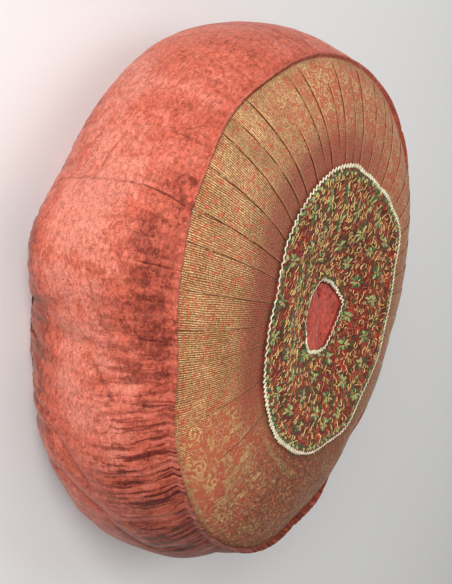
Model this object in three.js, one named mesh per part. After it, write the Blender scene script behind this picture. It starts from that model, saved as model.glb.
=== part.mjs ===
// Round floor cushion, lying on its back with the decorated face up.
// Units are millimetres, +Z is up, the origin is under the middle of the resting face.
// The cushion is one filled velvet body with a wide bulging side band. Its face carries a
// knife-pleated brocade ring, an embroidered ring over the inner ends of the pleats, a small
// velvet patch in the sunken middle, and two zigzag braids that cover the raw edges.
import * as THREE from 'three';

// Main sizes
const SEAM_RADIUS = 200;        // front seam, where the side band meets the pleated ring
const SEAM_HEIGHT = 132;        // height of that seam above the floor
const BACK_SEAM_RADIUS = 199;   // back seam, where the side band meets the back panel
const BACK_SEAM_HEIGHT = 12;
const REST_RADIUS = 158;        // flat part of the back that touches the floor
const SIDE_BULGE = 25.5;         // how far the side band swells past its seams
const SIDE_FULLNESS = 3.6;      // power of the swelling: higher is squarer
const SEAM_ROLL = 3;            // small roll of velvet that stands beside the front seam
const SEAM_ROLL_RISE = 0.6;
const SEAM_TUCK = 1.8;          // depth to which the front seam is drawn in
const TUCK_WIDTH = 0.6;
const CROWN_RISE = 23;          // from the front seam up to the edge of the embroidered ring
const CROWN_FULLNESS = 2.2;
const MIDDLE_PUFF = 1.6;        // rise of the embroidered ring inside its own edge
const PUFF_START = 0.45;        // share of the way to that edge at which it starts
const MIDDLE_SINK = 13.6;       // depth of the middle below the edge of the embroidered ring
const SINK_FLOOR = 0.12;        // shares of the way to that edge between which it rises again
const SINK_EDGE = 0.8;

// Cloth
const CLOTH = 1.5;              // brocade, embroidery and velvet patch
const BACK_CLOTH = 1.5;
const GAP = 0.3;                // air between neighbouring pieces
const PLEAT_DEPTH = 1.2;        // height of a knife pleat's folded edge
const PLEAT_LIP = 0.45;         // width of that edge, in degrees
const FOLD_FADE = 0.1;          // share of the ring's width over which a folded edge fades out
const PLEAT_ROUNDING = 1.6;     // power of the rise from one folded edge to the next
const SEAM_PINCH = 0.9;         // share of the ring's width at which the seam flattens pleats
const PLEAT_SEAM_SHARE = 0.25;  // share of a pleat's depth that is left at the front seam
const PLEAT_END_SHARE = 0.4;    // and at its end under the embroidered ring
const UNDERLAP = 8;             // pleats run this far under the embroidered ring
const STEP_WIDTH = 6;           // slope where a cloth climbs over another one's edge
const STEP_CLEARANCE = 0.5;     // the slope is over this far before that edge
const FLAT_SHARES = [0.33, 0.67];  // where the flat part between the slopes is cut
const PATCH_UNDERLAP = 5;       // room for the velvet patch under the embroidered ring
const PATCH_MARGIN = 1;         // the patch ends this far inside that room

// Braids
const BRAID_WIDTH = 3.2;
const BRAID_THICKNESS = 1.6;
const BRAID_SWING = 1.3;        // half the sideways swing of the zigzag
const BRAID_PITCH = 7;
const OUTER_BRAID_INSET = 1.6;  // middle of the outer braid, inside the ring's outer edge
const INNER_BRAID_INSET = 2.6;  // middle of the inner braid, outside the ring's inner edge
const OUTER_BRAID_RADIUS = 116; // mean radii, which give the number of bends
const INNER_BRAID_RADIUS = 31;

// How finely the round forms are divided
const SIDE_STATIONS = 96;
const MIDDLE_STATIONS = 72;
const BACK_STATIONS = 72;
const PATCH_STATIONS = 40;
const SIDE_ROWS = [0.05, 0.14, 0.28, 0.44, 0.6, 0.75, 0.88, 0.96];
const CROWN_ROWS = [0.97, 0.8, 0.58, 0.36, 0.16, 0];
const PLEAT_STEP = 4;           // degrees between the points of a pleat

// Rim of the filled body over the back panel, and the two faces of the panel's rim: distance
// inside the back seam, and height.
const BODY_RIM = [
  { inset: 27, height: 2.7 }, { inset: 15, height: 5 }, { inset: 3, height: 9.6 },
];
const PANEL_RIM_UNDER = [
  { inset: 27, height: 0.9 }, { inset: 17, height: 2.5 }, { inset: 6, height: 7.3 },
];
const PANEL_RIM_UPPER = [
  { inset: 7, height: 7.05 }, { inset: 16.5, height: 3.85 }, { inset: 27, height: 2.1 },
];

// Uneven stuffing round the cushion: where (degrees), how wide (degrees), and how far it moves
// the side band outwards, the front seam outwards and the front seam upwards.
const LUMPS = [
  { at: 20, wide: 12, side: -9.5, seam: -8, lift: -2 },
  { at: 48, wide: 16, side: -12, seam: -14, lift: -9.5 },
  { at: 80, wide: 16, side: -9, seam: -10, lift: -6.5 },
  { at: 106, wide: 12, side: -5, seam: -3.5, lift: 0.5 },
  { at: 135, wide: 14, side: 5, seam: 3.5, lift: -0.5 },
  { at: 186, wide: 24, side: -9, seam: -4, lift: 0 },
  { at: 238, wide: 13, side: -0.5, seam: 8, lift: -3 },
  { at: 257, wide: 9, side: -0.5, seam: 5, lift: -0.5 },
  { at: 268, wide: 10, side: 16, seam: 0, lift: 0.5 },
  { at: 288, wide: 11, side: -9, seam: -7.5, lift: 1 },
  { at: 317, wide: 11, side: -1.5, seam: 0.5, lift: 2 },
  { at: 355, wide: 12, side: -14, seam: -0.5, lift: -1 },
];

// Creases in the side band: where, how wide (degrees), how deep, and between which shares of
// the band's height they run.
const SIDE_CREASES = [
  { at: 20, wide: 4, deep: 2.2, low: 0.45, high: 1 },
  { at: 63, wide: 4, deep: 2, low: 0, high: 0.5 },
  { at: 150, wide: 4, deep: 2, low: 0.4, high: 1 },
  { at: 222, wide: 3.4, deep: 1.8, low: 0.6, high: 1 },
  { at: 261, wide: 3.6, deep: 3, low: 0.1, high: 1 },
  { at: 277, wide: 3.4, deep: 2.4, low: 0, high: 0.4 },
  { at: 299, wide: 3.4, deep: 2.4, low: 0, high: 0.45 },
  { at: 327, wide: 3.4, deep: 2.2, low: 0.55, high: 1 },
  { at: 340, wide: 3.4, deep: 2.2, low: 0.5, high: 1 },
];
const CREASE_INSET = 0.05;      // a crease is at full depth this share inside its ends
const CREASE_FADE = 0.12;       // and is gone this share outside them
const LUMP_FULLNESS = 0.5;      // power of the swelling that carries the lumps
const PUCKER_DEPTH = 1.1;       // gathers along both seams of the band
const PUCKER_REACH = 0.24;      // share of the band's height that they run into

// Outline of the embroidered ring and of the velvet patch: radius at each angle
const RING_EDGE = [
  { at: 0, radius: 115 }, { at: 18, radius: 112 }, { at: 36, radius: 115.5 },
  { at: 54, radius: 108.5 }, { at: 74, radius: 110.3 }, { at: 88, radius: 107.3 },
  { at: 100, radius: 108.5 }, { at: 112, radius: 111 }, { at: 130, radius: 124 },
  { at: 148, radius: 116 }, { at: 165, radius: 111 }, { at: 180, radius: 111.5 },
  { at: 194, radius: 116.5 }, { at: 212, radius: 119.5 }, { at: 236, radius: 120 },
  { at: 250, radius: 118.6 }, { at: 258, radius: 114.5 }, { at: 268, radius: 110.3 },
  { at: 283, radius: 113.8 }, { at: 304, radius: 118 }, { at: 324, radius: 118.8 },
  { at: 345, radius: 115.6 },
];
const PATCH_EDGE = [
  { at: 15, radius: 32.7 }, { at: 28, radius: 32.7 }, { at: 50, radius: 30 },
  { at: 66, radius: 28.8 }, { at: 86, radius: 30.2 }, { at: 103, radius: 32.8 },
  { at: 113, radius: 29.5 }, { at: 126, radius: 25.7 }, { at: 147, radius: 21.6 },
  { at: 180, radius: 20.6 }, { at: 205, radius: 22.6 }, { at: 232, radius: 21.6 },
  { at: 262, radius: 23 }, { at: 294, radius: 26.2 }, { at: 312, radius: 27.8 },
  { at: 333, radius: 34 }, { at: 341, radius: 36.2 }, { at: 355, radius: 33.6 },
];

// Folded edges of the pleats. The shares give where an edge starts and ends between the
// embroidered ring (0) and the front seam (1), and deep is its share of the full depth.
const FOLDS = [
  { at: 9, from: 0, to: 0.5, deep: 0.25 }, { at: 24, from: 0, to: 0.7, deep: 0.3 },
  { at: 38, from: 0, to: 0.6, deep: 0.3 }, { at: 51, from: 0, to: 0.8, deep: 0.35 },
  { at: 63, from: 0, to: 0.8, deep: 0.4 }, { at: 74, from: 0, to: 1, deep: 0.5 },
  { at: 84, from: 0, to: 1, deep: 0.5 }, { at: 93, from: 0, to: 1, deep: 0.6 },
  { at: 102, from: 0, to: 0.9, deep: 0.7 }, { at: 110, from: 0, to: 1, deep: 0.7 },
  { at: 118, from: 0, to: 1, deep: 0.8 }, { at: 126, from: 0, to: 0.9, deep: 0.8 },
  { at: 134, from: 0, to: 1, deep: 0.8 }, { at: 142, from: 0, to: 1, deep: 0.9 },
  { at: 151, from: 0, to: 1, deep: 0.9 }, { at: 160, from: 0, to: 0.9, deep: 0.9 },
  { at: 168, from: 0, to: 1, deep: 0.9 }, { at: 177, from: 0, to: 1, deep: 0.9 },
  { at: 186, from: 0, to: 1, deep: 1 }, { at: 192, from: 0, to: 0.85, deep: 0.8 },
  { at: 199, from: 0, to: 1, deep: 1 }, { at: 203, from: 0.1, to: 0.85, deep: 0.8 },
  { at: 209, from: 0, to: 1, deep: 1 }, { at: 214, from: 0.1, to: 1, deep: 0.9 },
  { at: 221, from: 0, to: 0.6, deep: 1 }, { at: 229, from: 0, to: 1, deep: 1 },
  { at: 235, from: 0, to: 1, deep: 0.9 }, { at: 242, from: 0, to: 1, deep: 0.9 },
  { at: 249, from: 0, to: 1, deep: 0.9 }, { at: 257, from: 0, to: 1, deep: 0.9 },
  { at: 263, from: 0, to: 0.95, deep: 0.7 }, { at: 272, from: 0, to: 1, deep: 0.6 },
  { at: 280, from: 0.2, to: 1, deep: 0.4 }, { at: 287, from: 0, to: 0.6, deep: 0.3 },
  { at: 300, from: 0, to: 0.5, deep: 0.25 }, { at: 314, from: 0, to: 0.5, deep: 0.25 },
  { at: 330, from: 0, to: 0.6, deep: 0.25 }, { at: 345, from: 0, to: 0.5, deep: 0.25 },
];

// Swing of the folded edges: how many degrees an edge has turned by the time it reaches the
// front seam. The edges fan out a little where the strip was eased round a corner.
const FOLD_SWING = [
  { at: 0, degrees: 0 }, { at: 60, degrees: 2 }, { at: 150, degrees: -4 },
  { at: 160, degrees: -3 }, { at: 168, degrees: -5 }, { at: 177, degrees: -6 },
  { at: 186, degrees: -4 }, { at: 199, degrees: -3 }, { at: 203, degrees: -1 },
  { at: 209, degrees: 3 }, { at: 221, degrees: 3 }, { at: 235, degrees: 2 },
  { at: 242, degrees: -1 }, { at: 263, degrees: 0 }, { at: 290, degrees: 0 },
];

const DEGREE = Math.PI / 180;

// Smaller angle between two directions, in degrees, signed.
function turn(from, to) {
  return ((to - from + 540) % 360) - 180;
}

// Smooth hill of height 1 at the middle, falling to nothing in about two widths.
function hill(angle, at, wide) {
  const away = turn(at, angle) / wide;
  return Math.exp(-away * away);
}

// 0 below start, 1 above end, smooth between.
function ramp(start, end, value) {
  const share = Math.min(1, Math.max(0, (value - start) / (end - start)));
  return share * share * (3 - 2 * share);
}

function sumOfLumps(angle, column) {
  return LUMPS.reduce((sum, lump) => sum + lump[column] * hill(angle, lump.at, lump.wide), 0);
}

// Value of a table given at a few angles, with smooth stretches between them.
function valueAt(rows, angle, column) {
  const wrapped = ((angle % 360) + 360) % 360;
  let index = rows.length - 1;
  while (index > 0 && rows[index].at > wrapped) index -= 1;
  if (rows[index].at > wrapped) index = rows.length - 1;
  const here = rows[index];
  const next = rows[(index + 1) % rows.length];
  const span = (next.at - here.at + 360) % 360;
  const past = (wrapped - here.at + 360) % 360;
  return here[column] + (next[column] - here[column]) * ramp(0, span, past);
}

const seamRadius = (angle) => SEAM_RADIUS + sumOfLumps(angle, 'seam');
const seamHeight = (angle) => SEAM_HEIGHT + sumOfLumps(angle, 'lift');
const ringEdge = (angle) => valueAt(RING_EDGE, angle, 'radius');
const patchEdge = (angle) => valueAt(PATCH_EDGE, angle, 'radius');
const foldSwing = (angle) => valueAt(FOLD_SWING, angle, 'degrees');

// Height of the filled body's face at a distance from the middle. The share is 1 at the front
// seam and 0 at the edge of the embroidered ring.
function faceHeight(angle, radius) {
  const edge = ringEdge(angle);
  const top = SEAM_HEIGHT + CROWN_RISE - CLOTH - GAP;
  if (radius >= edge) {
    const share = (radius - edge) / (seamRadius(angle) - edge);
    const foot = seamHeight(angle) - CLOTH - GAP;
    return foot + (top - foot) * (1 - share ** CROWN_FULLNESS);
  }
  const share = radius / edge;
  const puff = MIDDLE_PUFF * Math.sin(Math.PI * ramp(PUFF_START, 1, share));
  return top + puff - MIDDLE_SINK * (1 - ramp(SINK_FLOOR, SINK_EDGE, share));
}

// Radius of the side band at a share of its height, with its lumps, creases and gathers.
function sideRadius(angle, share, station) {
  const base = BACK_SEAM_RADIUS + (seamRadius(angle) - BACK_SEAM_RADIUS) * share;
  const swell = 1 - Math.abs(2 * share - 1) ** SIDE_FULLNESS;
  const lump = sumOfLumps(angle, 'side') - sumOfLumps(angle, 'seam') * share;
  let dent = 0;
  for (const crease of SIDE_CREASES) {
    const inside = ramp(crease.low - CREASE_FADE, crease.low + CREASE_INSET, share)
      * (1 - ramp(crease.high - CREASE_INSET, crease.high + CREASE_FADE, share));
    dent += crease.deep * hill(angle, crease.at, crease.wide) * inside;
  }
  const nearSeam = 1 - ramp(0, PUCKER_REACH, Math.min(share, 1 - share));
  const pucker = (station % 2 ? 1 : -1) * PUCKER_DEPTH * nearSeam;
  return base + SIDE_BULGE * swell + lump * swell ** LUMP_FULLNESS - dent + pucker;
}

// Height of a pleat above the flat cloth: each pleat rises to its folded edge and drops there.
function pleatRelief(angle, share) {
  let relief = 0;
  FOLDS.forEach((fold, index) => {
    const next = FOLDS[(index + 1) % FOLDS.length];
    const span = (next.at - fold.at + 360) % 360;
    const past = (angle - fold.at + 360) % 360;
    if (past >= span) return;
    const ahead = next.deep * window(next, share) * Math.max(0, past / span) ** PLEAT_ROUNDING;
    const behind = fold.deep * window(fold, share) * Math.max(0, 1 - past / PLEAT_LIP);
    relief = Math.max(ahead, behind);
  });
  return PLEAT_DEPTH * relief;
}

// Share of a fold's depth at a place between the embroidered ring and the front seam.
function window(fold, share) {
  const opens = fold.from > 0 ? ramp(fold.from - FOLD_FADE, fold.from + FOLD_FADE, share) : 1;
  const closes = fold.to < 1 ? 1 - ramp(fold.to - FOLD_FADE, fold.to + FOLD_FADE, share) : 1;
  return opens * closes * (1 - (1 - PLEAT_SEAM_SHARE) * ramp(SEAM_PINCH, 1, share));
}

// Closed body from a section at each angle. A section is a list of { radius, height }, and a
// point with a swing is turned by that many degrees more. The section starts and ends on the
// axis, or, where it is a loop, closes on its own first point.
function uneven(angles, sectionAt, isLoop) {
  const points = [];
  const faces = [];
  const sections = angles.map((angle, station) => sectionAt(angle, station));
  const inner = isLoop ? sections[0].length : sections[0].length - 2;
  const skip = isLoop ? 0 : 1;
  sections.forEach((section, station) => {
    section.slice(skip, skip + inner).forEach(({ radius, height, swing = 0 }) => {
      const direction = (angles[station] + swing) * DEGREE;
      points.push(radius * Math.cos(direction), radius * Math.sin(direction), height);
    });
  });
  const count = angles.length;
  const at = (station, row) => (station % count) * inner + (row % inner);
  for (let station = 0; station < count; station += 1) {
    for (let row = 0; row < (isLoop ? inner : inner - 1); row += 1) {
      const corner = [at(station, row), at(station + 1, row)];
      const across = [at(station + 1, row + 1), at(station, row + 1)];
      faces.push(corner[0], corner[1], across[0], corner[0], across[0], across[1]);
    }
  }
  if (!isLoop) {
    const bottom = points.length / 3;
    points.push(0, 0, sections[0][0].height);
    points.push(0, 0, sections[0][inner + 1].height);
    for (let station = 0; station < count; station += 1) {
      faces.push(bottom, at(station + 1, 0), at(station, 0));
      faces.push(bottom + 1, at(station, inner - 1), at(station + 1, inner - 1));
    }
  }
  const geometry = new THREE.BufferGeometry();
  geometry.setAttribute('position', new THREE.Float32BufferAttribute(points, 3));
  geometry.setIndex(faces);
  geometry.computeVertexNormals();
  return geometry;
}

// Evenly spaced directions round the axis.
function around(count) {
  return Array.from({ length: count }, (_, index) => (360 * index) / count);
}

// Distances from the middle at which the embroidered ring, and the body under it, are cut.
function ringRadii(angle) {
  const edge = ringEdge(angle);
  const patch = patchEdge(angle);
  const pleatEnd = edge - UNDERLAP;
  const patchEnd = patch + PATCH_UNDERLAP;
  const flat = FLAT_SHARES.map(
    (share) => patchEnd + STEP_WIDTH + (pleatEnd - patchEnd - 2 * STEP_WIDTH) * share,
  );
  return [patch, patchEnd, patchEnd + STEP_WIDTH, ...flat, pleatEnd - STEP_WIDTH, pleatEnd, edge];
}

function rimPoint({ inset, height }) {
  return { radius: BACK_SEAM_RADIUS - inset, height };
}

// Filled velvet body: flat back, side band with drawn-in seams, crowned face, sunken middle.
function bodySection(angle, station) {
  const floor = BACK_CLOTH + GAP;
  const seam = seamRadius(angle);
  const foot = seamHeight(angle);
  const edge = ringEdge(angle);
  const section = [
    { radius: 0, height: floor },
    { radius: REST_RADIUS, height: floor },
    ...BODY_RIM.map(rimPoint),
  ];
  for (const share of SIDE_ROWS) {
    const height = BACK_SEAM_HEIGHT + (foot - BACK_SEAM_HEIGHT) * share;
    section.push({ radius: sideRadius(angle, share, station), height });
  }
  section.push({ radius: seam + SEAM_ROLL, height: foot + SEAM_ROLL_RISE });
  section.push({ radius: seam + TUCK_WIDTH, height: foot - SEAM_TUCK });
  for (const share of CROWN_ROWS) {
    const radius = edge + (seam - edge) * share;
    section.push({ radius, height: faceHeight(angle, radius) });
  }
  for (const radius of [...ringRadii(angle).slice(0, -1).reverse(), patchEdge(angle) / 2, 0]) {
    section.push({ radius, height: faceHeight(angle, radius) });
  }
  return section;
}

// Back panel: a flat round of velvet whose rim turns up towards the back seam.
function backSection() {
  const under = [
    { radius: 0, height: 0 },
    { radius: REST_RADIUS, height: 0 },
    ...PANEL_RIM_UNDER.map(rimPoint),
  ];
  const upper = [
    ...PANEL_RIM_UPPER.map(rimPoint),
    { radius: REST_RADIUS, height: BACK_CLOTH },
    { radius: 0, height: BACK_CLOTH },
  ];
  return [...under, ...upper];
}

// Directions at which the pleated ring is cut: both sides of each folded edge and a few
// between the edges.
function pleatAngles() {
  const angles = [];
  FOLDS.forEach((fold, index) => {
    const next = FOLDS[(index + 1) % FOLDS.length];
    const span = (next.at - fold.at + 360) % 360;
    const between = Math.max(1, Math.round(span / PLEAT_STEP) - 1);
    angles.push(fold.at, fold.at + PLEAT_LIP);
    for (let step = 1; step <= between; step += 1) {
      angles.push(fold.at + PLEAT_LIP + ((span - PLEAT_LIP) * step) / (between + 1));
    }
  });
  return angles.map((angle) => angle % 360).sort((first, second) => first - second);
}

// Pleated brocade ring, from just inside the front seam to under the embroidered ring. Its rows
// swing with the folded edges, so each point is set by the direction that it ends up in.
function pleatSection(angle) {
  const under = [];
  const upper = [];
  for (const share of CROWN_ROWS) {
    const swing = foldSwing(angle) * share;
    const edge = ringEdge(angle + swing);
    const seam = seamRadius(angle + swing) - GAP;
    const radius = edge + (seam - edge) * share;
    const height = faceHeight(angle + swing, radius) + GAP;
    under.unshift({ radius, height, swing });
    upper.push({ radius, height: height + CLOTH + pleatRelief(angle, share), swing });
  }
  const inner = ringEdge(angle) - UNDERLAP;
  const height = faceHeight(angle, inner) + GAP;
  under.unshift({ radius: inner, height });
  upper.push({ radius: inner, height: height + CLOTH + pleatRelief(angle, 0) * PLEAT_END_SHARE });
  return [...under, ...upper];
}

// Rise of the embroidered ring above the filled body: it climbs over the pleats' inner ends
// at its outside and over the velvet patch at its inside.
function ringLift(angle, radius) {
  const overPleats = CLOTH + PLEAT_DEPTH + GAP;
  const pleatEnd = ringEdge(angle) - UNDERLAP;
  const patchEnd = patchEdge(angle) + PATCH_UNDERLAP;
  const outside = overPleats * ramp(pleatEnd - STEP_WIDTH, pleatEnd - STEP_CLEARANCE, radius);
  const inside = (CLOTH + GAP)
    * (1 - ramp(patchEnd + STEP_CLEARANCE, patchEnd + STEP_WIDTH, radius));
  return GAP + Math.max(outside, inside);
}

function ringSection(angle) {
  const under = [];
  const upper = [];
  for (const radius of ringRadii(angle)) {
    const height = faceHeight(angle, radius) + ringLift(angle, radius);
    under.push({ radius, height });
    upper.unshift({ radius, height: height + CLOTH });
  }
  return [...under, ...upper];
}

// Velvet patch in the sunken middle.
function patchSection(angle) {
  const patch = patchEdge(angle);
  const radii = [0, patch / 2, patch, patch + PATCH_UNDERLAP - PATCH_MARGIN];
  const under = radii.map((radius) => ({ radius, height: faceHeight(angle, radius) + GAP }));
  const upper = radii.map((radius) => ({ radius, height: faceHeight(angle, radius) + GAP + CLOTH }));
  return [...under, ...upper.reverse()];
}

// Directions of a zigzag braid's bends: an even number, so that it closes on itself.
function braidAngles(radius) {
  const waves = Math.round((2 * Math.PI * radius) / BRAID_PITCH);
  return around(2 * waves);
}

// A zigzag braid laid on the embroidered ring along one of its edges.
function braidSection(angle, station, middle) {
  const swing = station % 2 ? BRAID_SWING : -BRAID_SWING;
  const outer = middle + swing + BRAID_WIDTH / 2;
  const inner = middle + swing - BRAID_WIDTH / 2;
  const seat = Math.max(...[inner, middle, outer].map(
    (radius) => faceHeight(angle, radius) + ringLift(angle, radius),
  )) + CLOTH + GAP;
  return [
    { radius: inner, height: seat },
    { radius: outer, height: seat },
    { radius: outer, height: seat + BRAID_THICKNESS },
    { radius: inner, height: seat + BRAID_THICKNESS },
  ];
}

const velvet = { color: 0xd2695a, roughness: 0.75, metalness: 0 };
const brocade = { color: 0xc58a58, roughness: 0.6, metalness: 0 };
const embroidery = { color: 0x7c4a36, roughness: 0.8, metalness: 0 };
const cream = { color: 0xf0e8c6, roughness: 0.7, metalness: 0 };
const rosyVelvet = { color: 0xc24f4a, roughness: 0.75, metalness: 0 };

function piece(name, geometry, finish) {
  const mesh = new THREE.Mesh(geometry, new THREE.MeshStandardMaterial(finish));
  mesh.name = name;
  return mesh;
}

const cushion = new THREE.Group();
cushion.add(piece('cushion_body', uneven(around(SIDE_STATIONS), bodySection, false), velvet));
cushion.add(piece('back_panel', uneven(around(BACK_STATIONS), backSection, false), velvet));
cushion.add(piece('pleated_ring', uneven(pleatAngles(), pleatSection, true), brocade));
cushion.add(piece('embroidered_ring',
  uneven(around(MIDDLE_STATIONS), ringSection, true), embroidery));
cushion.add(piece('outer_braid', uneven(braidAngles(OUTER_BRAID_RADIUS),
  (angle, station) => braidSection(angle, station, ringEdge(angle) - OUTER_BRAID_INSET),
  true), cream));
cushion.add(piece('centre_patch', uneven(around(PATCH_STATIONS), patchSection, false), rosyVelvet));
cushion.add(piece('inner_braid', uneven(braidAngles(INNER_BRAID_RADIUS),
  (angle, station) => braidSection(angle, station, patchEdge(angle) + INNER_BRAID_INSET),
  true), cream));

export default cushion;
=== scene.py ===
# %% [markdown]
# # A round floor cushion in crushed velvet, pleated brocade and embroidery
# The real cushion is a thick drum of filling in a sewn case. A wide velvet band runs round the
# side, a ring of brocade is folded into knife pleats on the face, and an embroidered ring with
# two zigzag braids closes the middle. This lesson dresses a measured frame of plain solids: each
# solid gives a place and a size, and each step below makes the cloth that covers it.

# %% Load the frame
import math
import random

import bpy
import numpy as np
from mathutils import Matrix, Vector


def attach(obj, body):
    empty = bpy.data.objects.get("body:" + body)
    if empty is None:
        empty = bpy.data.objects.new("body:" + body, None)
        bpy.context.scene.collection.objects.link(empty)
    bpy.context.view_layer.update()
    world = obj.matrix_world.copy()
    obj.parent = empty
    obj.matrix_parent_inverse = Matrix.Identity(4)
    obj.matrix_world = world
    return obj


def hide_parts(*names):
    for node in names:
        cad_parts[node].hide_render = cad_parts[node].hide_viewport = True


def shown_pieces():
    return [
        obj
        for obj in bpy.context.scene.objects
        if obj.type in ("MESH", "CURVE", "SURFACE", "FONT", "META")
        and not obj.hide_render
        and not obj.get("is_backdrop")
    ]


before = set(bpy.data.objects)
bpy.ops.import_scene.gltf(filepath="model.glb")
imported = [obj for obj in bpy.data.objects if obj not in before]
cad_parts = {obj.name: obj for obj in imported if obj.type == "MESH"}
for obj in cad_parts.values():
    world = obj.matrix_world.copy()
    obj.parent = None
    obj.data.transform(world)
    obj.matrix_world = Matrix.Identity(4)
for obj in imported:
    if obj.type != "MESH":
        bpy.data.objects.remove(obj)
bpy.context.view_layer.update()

MM = 0.001

# %% [markdown]
# ## The sizes that the maker cut to
# The seams, rings and folds of a hand-stuffed cushion are uneven. Short tables say where: every
# row is one lump, crease or fold, with its direction in degrees seen from above. The same rows
# shape the solids of the frame, so the cloth fits them.

# %% Sizes in millimetres
SEAM_RADIUS = 200
SEAM_HEIGHT = 132
BACK_SEAM_RADIUS = 199
BACK_SEAM_HEIGHT = 12
REST_RADIUS = 158
SIDE_BULGE = 25.5
SIDE_FULLNESS = 3.6
LUMP_FULLNESS = 0.5
CROWN_RISE = 23
CROWN_FULLNESS = 2.2
MIDDLE_PUFF = 1.6
PUFF_START = 0.45
MIDDLE_SINK = 13.6
SINK_FLOOR = 0.12
SINK_EDGE = 0.8
CLOTH = 1.5
GAP = 0.3
PLEAT_DEPTH = 1.2
SHOWN_DEPTH = 0.8
UNDERLAP = 8
STEP_WIDTH = 6
PATCH_UNDERLAP = 5
MEAN_EDGE = 116
MEAN_PATCH = 30
DRAFT_TOP, DRAFT_RIM, DRAFT_UNDER = 150.0, 149.0, 148.0  # a ring's rows before each finds its height

LUMPS = [
    {"at": 20, "wide": 12, "side": -9.5, "seam": -8, "lift": -2},
    {"at": 48, "wide": 16, "side": -12, "seam": -14, "lift": -9.5},
    {"at": 80, "wide": 16, "side": -9, "seam": -10, "lift": -6.5},
    {"at": 106, "wide": 12, "side": -5, "seam": -3.5, "lift": 0.5},
    {"at": 135, "wide": 14, "side": 5, "seam": 3.5, "lift": -0.5},
    {"at": 186, "wide": 24, "side": -9, "seam": -4, "lift": 0},
    {"at": 238, "wide": 13, "side": -0.5, "seam": 8, "lift": -3},
    {"at": 257, "wide": 9, "side": -0.5, "seam": 5, "lift": -0.5},
    {"at": 268, "wide": 10, "side": 16, "seam": 0, "lift": 0.5},
    {"at": 288, "wide": 11, "side": -9, "seam": -7.5, "lift": 1},
    {"at": 317, "wide": 11, "side": -1.5, "seam": 0.5, "lift": 2},
    {"at": 355, "wide": 12, "side": -14, "seam": -0.5, "lift": -1},
]
RING_EDGE = {
    0: 115, 18: 112, 36: 115.5, 54: 108.5, 74: 110.3, 88: 107.3, 100: 108.5, 112: 111, 130: 124,
    148: 116, 165: 111, 180: 111.5, 194: 116.5, 212: 119.5, 236: 120, 250: 118.6, 258: 114.5,
    268: 110.3, 283: 113.8, 304: 118, 324: 118.8, 345: 115.6,
}
PATCH_EDGE = {
    15: 32.7, 28: 32.7, 50: 30, 66: 28.8, 86: 30.2, 103: 32.8, 113: 29.5, 126: 25.7, 147: 21.6,
    180: 20.6, 205: 22.6, 232: 21.6, 262: 23, 294: 26.2, 312: 27.8, 333: 34, 341: 36.2,
    355: 33.6,
}

# %% Curves and outlines worked out from the tables
def turn(start, end):
    """Smaller signed angle between two directions, in degrees."""
    return (end - start + 180) % 360 - 180


def hill(angle, at, wide):
    """Smooth hill, 1 at the middle."""
    return np.exp(-(turn(at, angle) / wide) ** 2)


def ramp(start, end, value):
    """0 below start, 1 above end, smooth between."""
    share = np.clip((value - start) / (end - start), 0, 1)
    return share * share * (3 - 2 * share)


def to_polar(x, y):
    """Direction in degrees, from 0 to 360, and radius."""
    return np.degrees(np.arctan2(y, x)) % 360, np.hypot(x, y)


def to_xy(angle, radius):
    """X and y of a direction in degrees and a radius."""
    return radius * np.cos(np.radians(angle)), radius * np.sin(np.radians(angle))


def lumps(angle, column):
    """Sum of all stuffing lumps in one direction, in one column of their table."""
    return sum(row[column] * hill(angle, row["at"], row["wide"]) for row in LUMPS)


def outline(rows, angle):
    """A value given at a few directions, with smooth stretches between them."""
    wrapped = np.asarray(angle, float) % 360
    at = np.array(sorted(rows), float)
    value = np.array([rows[key] for key in sorted(rows)], float)
    here = np.searchsorted(at, wrapped, side="right") - 1
    ahead = (here + 1) % len(at)
    span = (at[ahead] - at[here]) % 360
    share = ramp(0, 1, (wrapped - at[here]) % 360 / span)
    return value[here] + (value[ahead] - value[here]) * share


def seam_radius(angle):
    """Radius of the front seam."""
    return SEAM_RADIUS + lumps(angle, "seam")


def seam_height(angle):
    """Height of the front seam."""
    return SEAM_HEIGHT + lumps(angle, "lift")


def ring_edge(angle):
    """Radius at which the embroidered ring ends and the pleats begin to show."""
    return outline(RING_EDGE, angle)


def patch_edge(angle):
    """Radius at which the velvet patch ends and the embroidered ring begins."""
    return outline(PATCH_EDGE, angle)


def face_height(angle, radius):
    """Height of the filled body's face, under the cloths that cover it."""
    edge = ring_edge(angle)
    top = SEAM_HEIGHT + CROWN_RISE - CLOTH - GAP
    foot = seam_height(angle) - CLOTH - GAP
    share = np.clip((radius - edge) / (seam_radius(angle) - edge), 0, 1.2)
    crown = foot + (top - foot) * (1 - share ** CROWN_FULLNESS)
    share = radius / edge
    puff = MIDDLE_PUFF * np.sin(math.pi * ramp(PUFF_START, 1, share))
    middle = top + puff - MIDDLE_SINK * (1 - ramp(SINK_FLOOR, SINK_EDGE, share))
    return np.where(radius >= edge, crown, middle)


print("front seam radius, mm:", [round(float(seam_radius(a)), 1) for a in range(0, 360, 45)])

# %% [markdown]
# ## The camera
# The cushion lies on its back, and the photograph looks across its face from a low side angle
# with the picture turned on its side. So the camera stands low in front, rolled a little past a
# quarter turn, and the cushion's top points to the right of the picture.

# %% Camera
PICTURE = (452, 584)
CAMERA_DISTANCE = 0.9
CAMERA_RISE = math.radians(28.3)
CAMERA_ROLL = math.radians(101.9)
FOCAL_PIXELS = 1080
SENSOR = 36.0
AIM_HEIGHT = 0.078
AIM_RIGHT = -25
AIM_UP = 1.6

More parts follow.
